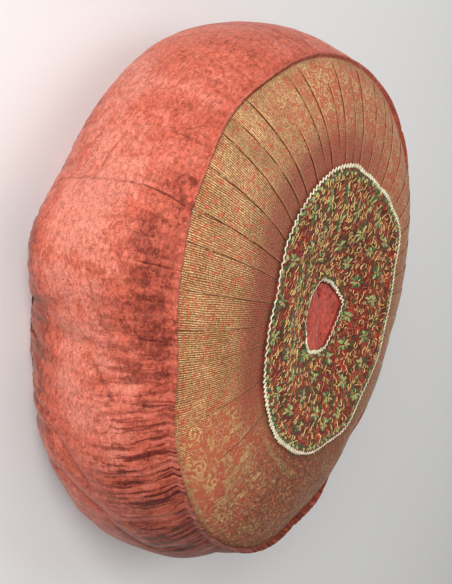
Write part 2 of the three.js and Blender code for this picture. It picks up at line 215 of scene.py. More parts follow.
forward = Vector((0, math.cos(CAMERA_RISE), -math.sin(CAMERA_RISE)))
level = Vector((1, 0, 0))
upright = level.cross(forward)
right = level * math.cos(CAMERA_ROLL) + upright * math.sin(CAMERA_ROLL)
upward = upright * math.cos(CAMERA_ROLL) - level * math.sin(CAMERA_ROLL)
place = Vector((0, 0, AIM_HEIGHT)) - forward * CAMERA_DISTANCE
pixel = CAMERA_DISTANCE / FOCAL_PIXELS
aim = Vector((0, 0, AIM_HEIGHT)) + right * (AIM_RIGHT * pixel) + upward * (AIM_UP * pixel)
look = (aim - place).normalized()
across = (right - look * right.dot(look)).normalized()
over = across.cross(look)
camera_data = bpy.data.cameras.new("camera")
camera_data.sensor_width = SENSOR
camera_data.lens = FOCAL_PIXELS * SENSOR / max(PICTURE)
camera = bpy.data.objects.new("camera", camera_data)
bpy.context.scene.collection.objects.link(camera)
axes = Matrix((across, over, -look)).transposed().to_4x4()
camera.matrix_world = Matrix.Translation(place) @ axes
bpy.context.scene.camera = camera
print("camera lens, mm:", round(camera_data.lens, 1))

# %% [markdown]
# ## Floor and light
# A pale floor and large soft lights, as in a small studio. The main light comes from the side of
# the camera that is the top of the picture, so the velvet on the far side falls into shade.

# %% Floor
bpy.ops.object.select_all(action="DESELECT")
bpy.ops.mesh.primitive_plane_add(size=12)
floor = bpy.context.active_object
floor.name = "floor"
floor_paint = bpy.data.materials.new("floor_paint")
floor_paint.use_nodes = True
floor_shader = floor_paint.node_tree.nodes["Principled BSDF"]
floor_shader.inputs["Base Color"].default_value = (0.9, 0.9, 0.9, 1)
floor_shader.inputs["Roughness"].default_value = 0.9
floor.data.materials.append(floor_paint)
floor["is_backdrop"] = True

# %% Lights
STUDIO_MIDDLE = (0, 0, 0.08)
LIGHTS = [
    {"name": "key", "at": (-0.5, -1.8, 0.95), "size": 0.8, "power": 40},
    {"name": "fill", "at": (0.9, -1.6, 1.7), "size": 1.6, "power": 1.5},
    {"name": "top", "at": (-0.9, 0.6, 1.9), "size": 1.2, "power": 8.5},
]
for row in LIGHTS:
    data = bpy.data.lights.new(row["name"], "AREA")
    data.size = row["size"]
    data.energy = row["power"]
    lamp = bpy.data.objects.new(row["name"], data)
    lamp.location = row["at"]
    lamp.rotation_euler = (Vector(STUDIO_MIDDLE) - lamp.location).to_track_quat("-Z", "Y").to_euler()
    bpy.context.scene.collection.objects.link(lamp)
world = bpy.data.worlds.new("studio")
world.use_nodes = True
world.node_tree.nodes["Background"].inputs["Color"].default_value = (1, 0.98, 0.95, 1)
world.node_tree.nodes["Background"].inputs["Strength"].default_value = 0.3
bpy.context.scene.world = world
bpy.context.scene.view_settings.view_transform = "Standard"

# %% [markdown]
# ## Modelling helpers
# Every piece here is round, so each starts as a circle that is extruded and resized row by row,
# as a turner would draw it. A row and a station number are kept on each point. The uneven form
# is then given to the whole piece at once, by asking where each row and station belongs.

# %% Turn a round piece from a circle
def turned(name, rows, sides, ends):
    """Circle extruded through rows of (radius, height). Ends are "poles", "loop" or "open"."""
    bpy.ops.object.select_all(action="DESELECT")
    radius, height = rows[0]
    bpy.ops.mesh.primitive_circle_add(
        vertices=sides, radius=radius * MM, location=(0, 0, height * MM))
    piece = bpy.context.active_object
    piece.name = piece.data.name = name
    bpy.ops.object.transform_apply(location=True)
    bpy.ops.object.mode_set(mode="EDIT")
    bpy.ops.mesh.select_all(action="SELECT")
    for next_radius, next_height in rows[1:]:
        step = (0, 0, (next_height - height) * MM)
        bpy.ops.mesh.extrude_region_move(TRANSFORM_OT_translate={"value": step})
        size = next_radius / radius
        bpy.ops.transform.resize(value=(size, size, 1))
        radius, height = next_radius, next_height
    bpy.ops.object.mode_set(mode="OBJECT")
    mesh = piece.data
    points = read_points(mesh) / MM
    radii, heights = np.array(rows, float).T
    away = np.hypot(np.hypot(points[:, 0], points[:, 1])[:, None] - radii, points[:, 2:] - heights)
    numbers = away.argmin(axis=1)
    direction = np.degrees(np.arctan2(points[:, 1], points[:, 0]))
    stations = np.round((direction - direction[0]) * sides / 360).astype(int) % sides
    order = np.lexsort((stations, numbers))
    in_order(mesh, order)
    for label, values in (("row", numbers[order]), ("station", stations[order])):
        mesh.attributes.new(label, "INT", "POINT").data.foreach_set("value", values)
    bpy.ops.object.mode_set(mode="EDIT")
    bpy.ops.mesh.select_mode(type="VERT")
    if ends == "loop":
        select_rows(piece, {0, len(rows) - 1})
        bpy.ops.mesh.bridge_edge_loops()
    if ends == "poles":
        for last in (0, len(rows) - 1):
            select_rows(piece, {last})
            bpy.ops.mesh.merge(type="CENTER")
    bpy.ops.mesh.select_all(action="SELECT")
    bpy.ops.mesh.normals_make_consistent(inside=False)
    bpy.ops.object.mode_set(mode="OBJECT")
    return piece

# %% Put points in order, read them and move them
def in_order(mesh, order):
    """Rebuild a mesh with its points and faces in one fixed order."""
    # the operators can leave another order in each run, and a cloth simulation depends on it
    place = np.argsort(order)
    points = read_points(mesh)[order]
    faces = []
    for face in mesh.polygons:
        corners = [int(place[corner]) for corner in face.vertices]
        first = corners.index(min(corners))
        faces.append(corners[first:] + corners[:first])
    mesh.clear_geometry()
    mesh.from_pydata(points.tolist(), [], sorted(faces))
    mesh.update()


def read_points(mesh):
    """Places of a mesh's points, in metres."""
    points = np.empty(len(mesh.vertices) * 3)
    mesh.vertices.foreach_get("co", points)
    return points.reshape(-1, 3)


def write_points(mesh, points):
    """Move a mesh's points, in metres."""
    mesh.vertices.foreach_set("co", np.asarray(points, float).ravel())
    mesh.update()


def read_numbers(mesh, label):
    """Row or station number of every point."""
    numbers = np.empty(len(mesh.vertices), int)
    mesh.attributes[label].data.foreach_get("value", numbers)
    return numbers


def select_rows(piece, chosen):
    """Select the points of some rows, from edit mode."""
    bpy.ops.mesh.select_all(action="DESELECT")
    bpy.ops.object.mode_set(mode="OBJECT")
    for number, vertex in zip(read_numbers(piece.data, "row"), piece.data.vertices):
        vertex.select = int(number) in chosen
    bpy.ops.object.mode_set(mode="EDIT")


def place_points(piece, angle, radius, height):
    """Put every point at a direction in degrees and a radius and height in millimetres."""
    write_points(piece.data, np.stack([*to_xy(angle, radius), height], axis=1) * MM)

# %% Finish a piece
def work_on(piece):
    """Make one piece the selected and active object."""
    bpy.ops.object.select_all(action="DESELECT")
    piece.select_set(True)
    bpy.context.view_layer.objects.active = piece


def smooth(piece):
    """Shade a piece smooth."""
    work_on(piece)
    bpy.ops.object.shade_smooth()


def apply_modifiers(piece):
    """Make a piece's modifiers part of its mesh."""
    work_on(piece)
    for modifier in list(piece.modifiers):
        bpy.ops.object.modifier_apply(modifier=modifier.name)


def unroll(piece, label, along, across, whole):
    """Keep the cloth's own coordinates, in metres, as a UV map that closes after a whole turn."""
    mesh = piece.data
    corners = np.empty(len(mesh.loops), int)
    mesh.loops.foreach_get("vertex_index", corners)
    totals = np.empty(len(mesh.polygons), int)
    mesh.polygons.foreach_get("loop_total", totals)
    face = np.repeat(np.arange(len(totals)), totals)
    run = along[corners]
    most = np.full(len(totals), -1e9)
    np.maximum.at(most, face, run)
    run = np.where(most[face] - run > whole / 2, run + whole, run)
    layer = mesh.uv_layers.new(name=label)
    layer.data.foreach_set("uv", np.stack([run, across[corners]], axis=1).ravel())


def paint(piece, label, values):
    """Keep a number on each point for the materials to read."""
    layer = piece.data.attributes.get(label) or piece.data.attributes.new(label, "FLOAT", "POINT")
    layer.data.foreach_set("value", np.asarray(values, float))

# %% [markdown]
# ## The velvet case
# The case is cut as a long band and two rounds, then stuffed hard, so the band swells between its
# two seams. It could be sculpted by hand, but stuffing is a matter of pressure, so the band is
# inflated as cloth with its seams held still. The gathers and creases come after that: they are
# narrower than the cloth's own points at that stage.

# %% Rows of the case
BACK_ROWS = [
    (20, 1.8), (90, 1.8), (150, 1.8), (172, 2.6), (184, 4.6), (191.5, 7.2), (196, 9.4),
    (198.6, 11.2),
]
SIDE_SHARES = [
    0.02, 0.05, 0.09, 0.13, 0.18, 0.23, 0.28, 0.34, 0.4, 0.46, 0.52, 0.58, 0.64, 0.7, 0.75,
    0.8, 0.85, 0.89, 0.93, 0.96, 0.985,
]
ROLL_ROWS = [
    # outward and upward from the front seam, and how much of the roll's own height is added
    (4.4, 0.4, 0.35), (3.2, 1.1, 1.0), (1.7, 0.4, 0.85), (0.6, -1.8, 0.0),
]
ROLL_HEIGHT = {0: 3.4, 25: 5, 55: 5, 75: 3.4, 90: 2.2, 110: 1, 130: 0.6, 143: 2.2, 158: 2.8, 172: 0.5,
               210: 0, 235: 2.2, 262: 1.4, 290: 3.2, 312: 4.4, 335: 4}
CROWN_SHARES = [0.96, 0.85, 0.7, 0.5, 0.3, 0]
MIDDLE_SHARES = [0.85, 0.6, 0.35, 0.1]
CASE_SIDES = 400
START_SMALLER = {0: 1, 130: 1.5, 150: 5, 205: 5, 225: 1.5, 280: 1.5, 290: 0, 312: -1.5, 322: 0,
                 335: 2.5, 350: 1}
PRESSURE = 4.0
MOST_SWELL = 7.0
CLOTH_FRAMES = 20
SEAM_HOLD = (-1, 2.5)  # rows from a seam between which the cloth comes free

# %% Radius and height of a row
def side_radius(angle, share, slack):
    """Radius of the side band at a share of its height, with its stuffing lumps."""
    base = BACK_SEAM_RADIUS + (seam_radius(angle) - BACK_SEAM_RADIUS) * share
    swell = 1 - np.abs(2 * share - 1) ** SIDE_FULLNESS
    lump = lumps(angle, "side") - lumps(angle, "seam") * share
    return base + (SIDE_BULGE - slack) * swell + lump * swell ** LUMP_FULLNESS


def case_row(number, angle, slack):
    """Radius and height of one row of the case in many directions."""
    if number < len(BACK_ROWS):
        radius, height = BACK_ROWS[number]
        return np.full_like(angle, radius), np.full_like(angle, height)
    number -= len(BACK_ROWS)
    if number < len(SIDE_SHARES):
        share = SIDE_SHARES[number]
        height = BACK_SEAM_HEIGHT + (seam_height(angle) - BACK_SEAM_HEIGHT) * share
        return side_radius(angle, share, slack), height
    number -= len(SIDE_SHARES)
    if number < len(ROLL_ROWS):
        outward, above, part = ROLL_ROWS[number]
        height = seam_height(angle) + above + part * outline(ROLL_HEIGHT, angle)
        return seam_radius(angle) + outward, height
    number -= len(ROLL_ROWS)
    edge = ring_edge(angle)
    if number < len(CROWN_SHARES):
        radius = edge + (seam_radius(angle) - edge) * CROWN_SHARES[number]
    else:
        radius = edge * MIDDLE_SHARES[number - len(CROWN_SHARES)]
    return radius, face_height(angle, radius)

# %% Make the case
CASE_ROWS = sum(map(len, (BACK_ROWS, SIDE_SHARES, ROLL_ROWS, CROWN_SHARES, MIDDLE_SHARES)))
mean_rows = [tuple(float(v[0]) for v in case_row(n, np.zeros(1), 0)) for n in range(CASE_ROWS)]
velvet_case = turned("velvet_case", mean_rows, CASE_SIDES, "open")
case_rows = read_numbers(velvet_case.data, "row")
case_angle = read_numbers(velvet_case.data, "station") * 360.0 / CASE_SIDES
case_radius = np.zeros(len(case_rows))
case_height = np.zeros(len(case_rows))
for number in range(CASE_ROWS):
    on_row = case_rows == number
    case_radius[on_row], case_height[on_row] = case_row(
        number, case_angle[on_row], outline(START_SMALLER, case_angle[on_row]))
place_points(velvet_case, case_angle, case_radius, case_height)
print("velvet case:", len(velvet_case.data.vertices), "points before stuffing")

# %% Hold the seams and stuff the case
first_side = len(BACK_ROWS)
last_side = first_side + len(SIDE_SHARES) - 1
held = np.ones(len(case_rows))
free = (case_rows >= first_side) & (case_rows <= last_side)
ends = np.minimum(case_rows - first_side, last_side - case_rows)
held[free] = 1 - ramp(*SEAM_HOLD, ends[free])
start = read_points(velvet_case.data)
group = velvet_case.vertex_groups.new(name="seams")
for index, weight in enumerate(held):
    if weight > 0:
        group.add([index], float(weight), "REPLACE")
cloth = velvet_case.modifiers.new("stuffing", "CLOTH")
settings = cloth.settings
settings.quality = 6
settings.mass = 0.3
settings.tension_stiffness = settings.compression_stiffness = 12
settings.shear_stiffness = 4
settings.bending_stiffness = 0.4
settings.use_pressure = True
settings.uniform_pressure_force = PRESSURE
settings.shrink_min = -0.02
settings.vertex_group_mass = "seams"
settings.effector_weights.gravity = 0
cloth.point_cache.frame_start = 1
cloth.point_cache.frame_end = CLOTH_FRAMES
for step in range(1, CLOTH_FRAMES + 1):
    bpy.context.scene.frame_set(step)
apply_modifiers(velvet_case)
bpy.context.scene.frame_set(1)
moved = read_points(velvet_case.data) - start
length = np.linalg.norm(moved, axis=1)
limit = np.minimum(1, MOST_SWELL * MM / np.maximum(length, 1e-9))
write_points(velvet_case.data, start + moved * limit[:, None])
print("the band swelled by up to", round(float(length.max() / MM), 1), "mm, kept to", MOST_SWELL)

# %% Make the case finer and close its two middles
subdivision = velvet_case.modifiers.new("finer", "SUBSURF")
subdivision.levels = subdivision.render_levels = 1
apply_modifiers(velvet_case)
bpy.ops.object.mode_set(mode="EDIT")
bpy.ops.mesh.select_mode(type="VERT")
bpy.ops.mesh.select_all(action="DESELECT")
bpy.ops.mesh.select_non_manifold()
bpy.ops.mesh.merge(type="COLLAPSE")
bpy.ops.object.mode_set(mode="OBJECT")
print("velvet case:", len(velvet_case.data.polygons), "faces")

# %% [markdown]
# ## Gathers and creases in the velvet
# Where the band is sewn in, the spare velvet is drawn up into small gathers. They are strong in
# the lower part of the picture and faint elsewhere, so a table gives their strength round the
# seam. A few long creases cross the band. Each is a narrow trough, and the depth is also kept on
# the points: velvet looks darker where its pile parts, and the same number paints shade into each trough.

# %% Strength of gathers and shade round the seam
FRONT_GATHERS = {0: 0.25, 50: 0.2, 140: 0.2, 200: 0.1, 262: 0.12, 280: 0.15, 290: 0.22, 305: 0.32,
                 330: 0.32}
ROLL_SHOWS = {0: 0, 285: 0, 300: 0.7, 322: 0.7, 335: 0}
SHADE = {0: 1, 40: 0.6, 95: 0.4, 150: 0, 300: 0, 318: 0.4, 335: 0.9}
STREAKS = {0: 1, 20: 0.6, 60: 0.3, 120: 0.15, 200: 0.12, 250: 0.2, 275: 0.3, 292: 0.6, 308: 1, 340: 1}
BACK_GATHERS = {0: 0.9, 40: 0.7, 100: 0.6, 180: 0.4, 230: 0.4, 250: 0.3, 262: 0.7, 285: 0.9,
                320: 1.0, 340: 1.0}
BACK_PUCKERS = {0: 1.0, 60: 0.6, 180: 0.4, 240: 0.2, 256: 0.4, 268: 1.1, 300: 1.3, 330: 1.4}
GATHER_PITCH, GATHER_WIDE = 2.1, (0.4, 0.85)
PUCKER_PITCH, PUCKER_WIDE = 7.0, (0.9, 1.7)
GATHER_DEPTH = 1.5
NARROWEST_CREASE = 1.8
FULLER = 1.0
DEGREE = 0.0036  # length of one degree and height of the whole band on the flat cloth, in metres
BAND = 0.12

# %% Long creases and painted light on the pile
CREASES = [
    # (degrees, share) at both ends, width in mm, depth in mm, darkness of parted pile and painted shade
    {"start": (257.8, 0.11), "end": (256.0, 0.81), "wide": 1.6, "deep": 0.5, "dark": 0.34},
    {"start": (255.8, 0.75), "end": (257.2, 1.00), "wide": 1.1, "deep": 1.0, "dark": 0.95},
    {"start": (268.7, 0.87), "end": (268.6, 1.00), "wide": 1.0, "deep": 0.7, "dark": 0.85},
    {"start": (274.7, 0.91), "end": (275.4, 0.97), "wide": 0.9, "deep": 0.3, "dark": 0.35},
    {"start": (243.9, 0.84), "end": (241.0, 0.91), "wide": 1.3, "deep": 0.5, "dark": 0.6},
    {"start": (245.4, 0.90), "end": (244.8, 0.98), "wide": 0.8, "deep": 0.3, "dark": 0.5},
    {"start": (256.9, 0.47), "end": (250.3, 0.50), "wide": 3.2, "deep": 0.7, "dark": 0.4},
    {"start": (287.0, 0.61), "end": (294.6, 0.75), "wide": 2.6, "deep": 1.0, "dark": 0.62},
    {"start": (272.0, 0.62), "end": (289.0, 0.77), "wide": 4.0, "deep": 0.8, "dark": 0.34},
    {"start": (281.8, 0.87), "end": (282.4, 0.99), "wide": 1.4, "deep": 0.6, "dark": 0.7},
    {"start": (294.4, 0.83), "end": (295.4, 1.00), "wide": 1.6, "deep": 0.8, "dark": 0.7},
    {"start": (222.6, 0.71), "end": (223.4, 0.83), "wide": 1.0, "deep": 0.3, "dark": 0.3},
    {"start": (303.0, 0.37), "end": (312.0, 0.53), "wide": 5.0, "deep": 1.4, "dark": 0.5},
    {"start": (312.0, 0.33), "end": (321.0, 0.58), "wide": 4.5, "deep": 1.5, "dark": 0.6},
    {"start": (322.0, 0.54), "end": (334.0, 0.71), "wide": 4.0, "deep": 1.2, "dark": 0.55},
    {"start": (20.0, 0.43), "end": (17.0, 1.00), "wide": 2.4, "deep": 1.4, "dark": 0.6},
    {"start": (63.0, 0.05), "end": (66.0, 0.53), "wide": 2.4, "deep": 1.4, "dark": 0.6},
    {"start": (150.0, 0.43), "end": (147.0, 1.00), "wide": 2.2, "deep": 1.0, "dark": 0.5},
    {"start": (98.0, 0.39), "end": (122.0, 0.49), "wide": 3.0, "deep": 0.9, "dark": 0.4},
]
PAINTED_LIGHT_ZONES = [
    # painted highlight (+) and painted shade (-) on the pile: middle, half sizes, tone
    {"at": 262, "half": 30, "share": 0.45, "tall": 0.2, "tone": 0.085},
    {"at": 240, "half": 22, "share": 0.39, "tall": 0.2, "tone": 0.075},
    {"at": 292, "half": 22, "share": 0.53, "tall": 0.14, "tone": 0.07},
    {"at": 306, "half": 16, "share": 0.73, "tall": 0.12, "tone": 0.07},
    {"at": 276, "half": 14, "share": 0.86, "tall": 0.08, "tone": -0.07},
    {"at": 266, "half": 26, "share": 0.66, "tall": 0.16, "tone": 0.05},
    {"at": 296, "half": 40, "share": 0.09, "tall": 0.17, "tone": -0.14},
    {"at": 268, "half": 6, "share": 0.13, "tall": 0.1, "tone": -0.14},
    {"at": 226, "half": 12, "share": 0.53, "tall": 0.16, "tone": -0.09},
    {"at": 204, "half": 12, "share": 0.33, "tall": 0.16, "tone": -0.07},
    {"at": 334, "half": 22, "share": 0.71, "tall": 0.4, "tone": -0.08},
]

# %% Depth of gathers and creases
def gathers(angle, share_from_seam, strengths, seed, pitch=GATHER_PITCH, wide_range=GATHER_WIDE):
    """Depth of the gathers along one seam, for many points at once. Pitch and width in degrees."""
    draw = random.Random(seed)
    depth = np.zeros_like(angle)
    at = 0.0
    while at < 360:
        strength = float(outline(strengths, at)) * draw.uniform(0.5, 1.3)
        wide = draw.uniform(*wide_range)
        reach = draw.uniform(0.07, 0.26) * (0.6 + 0.5 * strength)
        lean = draw.uniform(-6, 6)
        near = np.abs(turn(at, angle)) < 4 * wide_range[1] + 3
        away = turn(at, angle[near]) - lean * share_from_seam[near]
        fade = np.exp(-(share_from_seam[near] / reach) ** 1.5)
        depth[near] += GATHER_DEPTH * strength * np.exp(-(away / wide) ** 2) * fade
        at += pitch * draw.uniform(0.6, 1.4)
    return depth


def to_line(run, rise, row):
    """Distance of many points on the flat band from one crease, in metres."""
    start = np.array([row["start"][0] * DEGREE, row["start"][1] * BAND])
    end = np.array([row["end"][0] * DEGREE, row["end"][1] * BAND])
    way = end - start
    share = np.clip(((run - start[0]) * way[0] + (rise - start[1]) * way[1]) / (way @ way), 0, 1)
    return np.hypot(run - start[0] - share * way[0], rise - start[1] - share * way[1])

# %% Press them into the case
points = read_points(velvet_case.data) / MM
angle, radius = to_polar(points[:, 0], points[:, 1])
share = (points[:, 2] - BACK_SEAM_HEIGHT) / (seam_height(angle) - BACK_SEAM_HEIGHT)
on_side = radius > np.where(share > 0.5, seam_radius(angle) + 0.3, BACK_SEAM_RADIUS - 6)
inside = np.clip(share, 0, 1)
fine = gathers(angle, 1 - inside, FRONT_GATHERS, seed=3)
fine += gathers(angle, inside, BACK_GATHERS, seed=8)
pucker = gathers(angle, inside, BACK_PUCKERS, seed=15, pitch=PUCKER_PITCH, wide_range=PUCKER_WIDE)
depth = fine + pucker
for row in CREASES:
    away = to_line(angle * DEGREE, inside * BAND, row) / MM
    depth += row["deep"] * np.exp(-(away / max(row["wide"], NARROWEST_CREASE)) ** 2)
depth = np.where(on_side, depth, 0)
# painted highlight and painted shade zones, added to the crush of the pile
tone = np.zeros_like(angle)
for row in PAINTED_LIGHT_ZONES:
    near = np.exp(-((inside - row["share"]) / row["tall"]) ** 2)
    tone += row["tone"] * hill(angle, row["at"], row["half"]) * near
normals = np.empty(len(points) * 3)
velvet_case.data.vertex_normals.foreach_get("vector", normals)
fuller = FULLER * ramp(0, 0.06, inside) * ramp(0, 0.05, 1 - inside) * on_side
points -= normals.reshape(-1, 3) * (depth - fuller)[:, None]
write_points(velvet_case.data, points * MM)
print("deepest gather, mm:", round(float(depth.max()), 1))

# %% Paint what the velvet material reads
# darker colour in gathers, puckers and creases: partly parted pile, partly painted shade in the troughs
paint(velvet_case, "parted_pile_and_crease_shade", np.where(on_side, np.clip(fine / 1.6 + pucker / 3.2, 0, 1), 0))
# painted highlight and painted shade zones on the pile
paint(velvet_case, "painted_light_zones", tone)
streaked = outline(STREAKS, angle) * ramp(0.45, 0.85, inside) + 0.4 * ramp(0.3, 0.05, inside)
paint(velvet_case, "streaked", np.where(on_side, np.clip(streaked, 0, 1), 0))
roll = ramp(0.97, 1, share) * outline(ROLL_SHOWS, angle)
paint(velvet_case, "shade", outline(SHADE, angle) * ramp(0.1, 0.7, inside) * (1 - roll))
unroll(velvet_case, "band", angle * DEGREE, inside * BAND, 360 * DEGREE)
smooth(velvet_case)
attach(velvet_case, "root")
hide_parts("cushion_body")

# %% [markdown]
# ## The back panel
# The back is hidden in the photograph. A plain velvet round, turned up to the back seam and
# lightly gathered there, finishes it as such cushions are finished.

# %% Back panel
BACK_UNDER = [
    (20, 0), (80, 0), (130, 0), (158, 0), (172, 0.9), (182, 2.5), (189.5, 4.9), (193, 7.3)]
BACK_UPPER = [
    (192, 7.05), (188.5, 5.6), (182.5, 3.85), (172, 2.1), (158, 1.5), (80, 1.5), (20, 1.5)]
BACK_SIDES = 480
BACK_REACH = 2.2  # above 1, the gathers run less far from the seam than on the band
back_panel = turned("velvet_back", BACK_UNDER + BACK_UPPER, BACK_SIDES, "poles")
points = read_points(back_panel.data) / MM
angle, radius = to_polar(points[:, 0], points[:, 1])
under = read_numbers(back_panel.data, "row") < len(BACK_UNDER)
back_edge = BACK_UNDER[-1][0]
seam_share = np.clip((back_edge - radius) / back_edge, 0, 1)
depth = gathers(angle, seam_share * BACK_REACH, BACK_GATHERS, seed=21)
depth = depth * ramp(REST_RADIUS + 4, 186, radius)
points[:, 2] += np.where(under, np.minimum(depth * 0.5, 0.8), 0)
write_points(back_panel.data, points * MM)
# darker colour in the gathers: partly parted pile, partly painted shade
paint(back_panel, "parted_pile_and_crease_shade", np.clip(depth / 2, 0, 1))
smooth(back_panel)
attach(back_panel, "root")
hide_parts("back_panel")

# %% [markdown]
# ## The pleated brocade ring
# A straight strip of brocade is folded into knife pleats and sewn down as a ring. A pleat could be
# painted as a dark line, but its edge lifts off the cloth and throws a real shadow, so each edge
# is modelled: the cloth rises to the edge, turns under itself and starts again below. A painted
# shade line along each edge and a painted highlight on each lip are added to the colour as well.

# %% Folds
FOLDS = [
    {"at": 9, "from": 0, "to": 0.5, "deep": 0.25}, {"at": 24, "from": 0, "to": 0.7, "deep": 0.3},
    {"at": 38, "from": 0, "to": 0.6, "deep": 0.3}, {"at": 51, "from": 0, "to": 0.8, "deep": 0.35},
    {"at": 63, "from": 0, "to": 0.8, "deep": 0.4}, {"at": 74, "from": 0, "to": 1, "deep": 0.7},
    {"at": 84, "from": 0, "to": 1, "deep": 0.8}, {"at": 93, "from": 0, "to": 1, "deep": 0.8},
    {"at": 102, "from": 0, "to": 0.9, "deep": 0.9}, {"at": 110, "from": 0, "to": 1, "deep": 0.9},
    {"at": 118, "from": 0, "to": 1, "deep": 1}, {"at": 126, "from": 0, "to": 0.9, "deep": 0.9},
    {"at": 134, "from": 0, "to": 1, "deep": 1}, {"at": 142, "from": 0, "to": 1, "deep": 0.9},
    {"at": 151, "from": 0, "to": 1, "deep": 0.9}, {"at": 160, "from": 0, "to": 0.9, "deep": 0.9},
    {"at": 168, "from": 0, "to": 1, "deep": 0.9}, {"at": 177, "from": 0, "to": 1, "deep": 0.9},
    {"at": 186, "from": 0, "to": 1, "deep": 1}, {"at": 192, "from": 0, "to": 0.85, "deep": 0.8},
    {"at": 199, "from": 0, "to": 1, "deep": 1}, {"at": 203, "from": 0.1, "to": 0.85, "deep": 0.8},
    {"at": 209, "from": 0, "to": 1, "deep": 1}, {"at": 214, "from": 0.1, "to": 1, "deep": 0.9},
    {"at": 221, "from": 0, "to": 0.6, "deep": 1}, {"at": 229, "from": 0, "to": 1, "deep": 1},
    {"at": 235, "from": 0, "to": 1, "deep": 0.9}, {"at": 242, "from": 0, "to": 1, "deep": 0.9},
    {"at": 249, "from": 0, "to": 1, "deep": 0.9}, {"at": 257, "from": 0, "to": 1, "deep": 0.9},
    {"at": 263, "from": 0, "to": 0.95, "deep": 0.7}, {"at": 272, "from": 0, "to": 1, "deep": 0.6},
    {"at": 280, "from": 0.2, "to": 1, "deep": 0.4}, {"at": 287, "from": 0, "to": 0.6, "deep": 0.3},
    {"at": 300, "from": 0, "to": 0.5, "deep": 0.25}, {"at": 314, "from": 0, "to": 0.5, "deep": 0.25},
    {"at": 330, "from": 0, "to": 0.6, "deep": 0.25}, {"at": 345, "from": 0, "to": 0.5, "deep": 0.25},
]
FOLD_TURN = {
    0: 0, 60: 2, 150: -4, 160: -3, 168: -5, 177: -6, 186: -4, 199: -3, 203: -1, 209: 3, 221: 3,
    235: 2, 242: -1, 263: 0, 290: 0,
}
FOLD_STEPS = [
    # share of the way to the next fold, degrees beyond it, height share, degrees turned under,
    # painted shade darkness (below 0, a painted highlight on the lip)
    (0.00, 0.00, 0.00, 0.60, 1.0), (0.00, 0.08, 0.00, 0.0, 1.0), (0.00, 0.2, 0.03, 0.0, 0.4),
    (0.00, 0.42, 0.08, 0.0, 0.0), (0.20, 0.0, 0.26, 0.0, 0.0), (0.40, 0.0, 0.5, 0.0, 0.0),
    (0.62, 0.0, 0.74, 0.0, 0.0), (0.85, 0.0, 0.93, 0.0, 0.0), (0.975, 0.0, 1.0, 0.0, -0.2),
    (1.00, 0.0, 0.86, 0.03, 0.0), (1.00, 0.0, 0.5, 0.16, 0.9),
]
RING_ROWS = 26
ROWS_TO_SEAM = 1.15  # above 1, the rows lie closer together near the seam
TUCKED_SHARE = -0.095  # how far the strip runs on under the embroidered ring
TUCKED_RELIEF = 0.4
FOLD_FADE = 0.1
SEWN_DOWN, SEWN_FROM = 0.75, 0.93
MEAN_RADIUS = 160
CUT_RADIUS = 208

# %% Figure, painted shade and redness round the ring
FIGURED = {0: 0.8, 20: 0.5, 60: 0.3, 120: 0.35, 150: 0.9, 200: 0.9, 220: 0.6, 238: 0.15, 292: 0.1,
            306: 0.8, 325: 1}
# painted shade on the brocade, strongest low in the ring
PAINTED_LOW_SHADE = {0: 1, 20: 0.8, 50: 0.4, 90: 0.1, 150: 0, 300: 0, 318: 0.1, 332: 0.5, 345: 0.95}
REDDER = {0: 0.4, 30: 0.5, 60: 0.4, 90: 0.15, 150: 0.15, 185: 0.9, 210: 1, 300: 1, 320: 0.45, 345: 0.3}

# %% Fold the strip
def fold_strength(fold, share):
    """Share of a fold's depth between the embroidered ring (0) and the seam (1)."""
    strength = np.full_like(share, fold["deep"])
    if fold["from"] > 0:
        strength = strength * ramp(fold["from"] - FOLD_FADE, fold["from"] + FOLD_FADE, share)
    if fold["to"] < 1:
        strength = strength * (1 - ramp(fold["to"] - FOLD_FADE, fold["to"] + FOLD_FADE, share))
    return strength * (1 - SEWN_DOWN * ramp(SEWN_FROM, 1, share))


share_rows = 1 - (1 - np.linspace(0, 1, RING_ROWS - 1)) ** ROWS_TO_SEAM
share_rows = np.concatenate([[TUCKED_SHARE], share_rows])
stations = len(FOLDS) * len(FOLD_STEPS)
ring_angle, ring_relief, ring_dark, ring_u = np.zeros((4, stations, RING_ROWS))
inside_share = np.clip(share_rows, 0, 1)
strip = 0.0
radius = MEAN_EDGE + (SEAM_RADIUS - MEAN_EDGE) * inside_share
for index, fold in enumerate(FOLDS):
    ahead = FOLDS[(index + 1) % len(FOLDS)]
    span = (ahead["at"] - fold["at"]) % 360
    here = fold_strength(fold, inside_share)
    there = fold_strength(ahead, inside_share)
    hidden = (fold["deep"] + ahead["deep"]) / 2
    cut = math.radians(span) * (MEAN_RADIUS + (CUT_RADIUS - MEAN_RADIUS) * hidden)
    shows = math.radians(span) * (MEAN_RADIUS + (radius - MEAN_RADIUS) * hidden)
    for step, (along, beyond, lift, under_turn, dark) in enumerate(FOLD_STEPS):
        at_station = index * len(FOLD_STEPS) + step
        strength = there if along > 0.9 else here
        ring_angle[at_station] = fold["at"] + span * along + beyond - under_turn * strength
        ring_relief[at_station] = SHOWN_DEPTH * lift * there
        ring_dark[at_station] = dark * strength
        ring_u[at_station] = strip + (cut - shows) / 2 + shows * (along + beyond / span)
    strip += cut
ring_angle = ring_angle + outline(FOLD_TURN, ring_angle) * inside_share[None, :]
edge = ring_edge(ring_angle)
ring_radius = edge + (seam_radius(ring_angle) - GAP - edge) * share_rows[None, :]
ring_base = face_height(ring_angle, ring_radius) + GAP
ring_relief[:, 0] *= TUCKED_RELIEF
ring_top = ring_base + CLOTH + ring_relief
print("pleats:", len(FOLDS), "stations:", stations, "strip length, m:", round(strip * MM, 2))

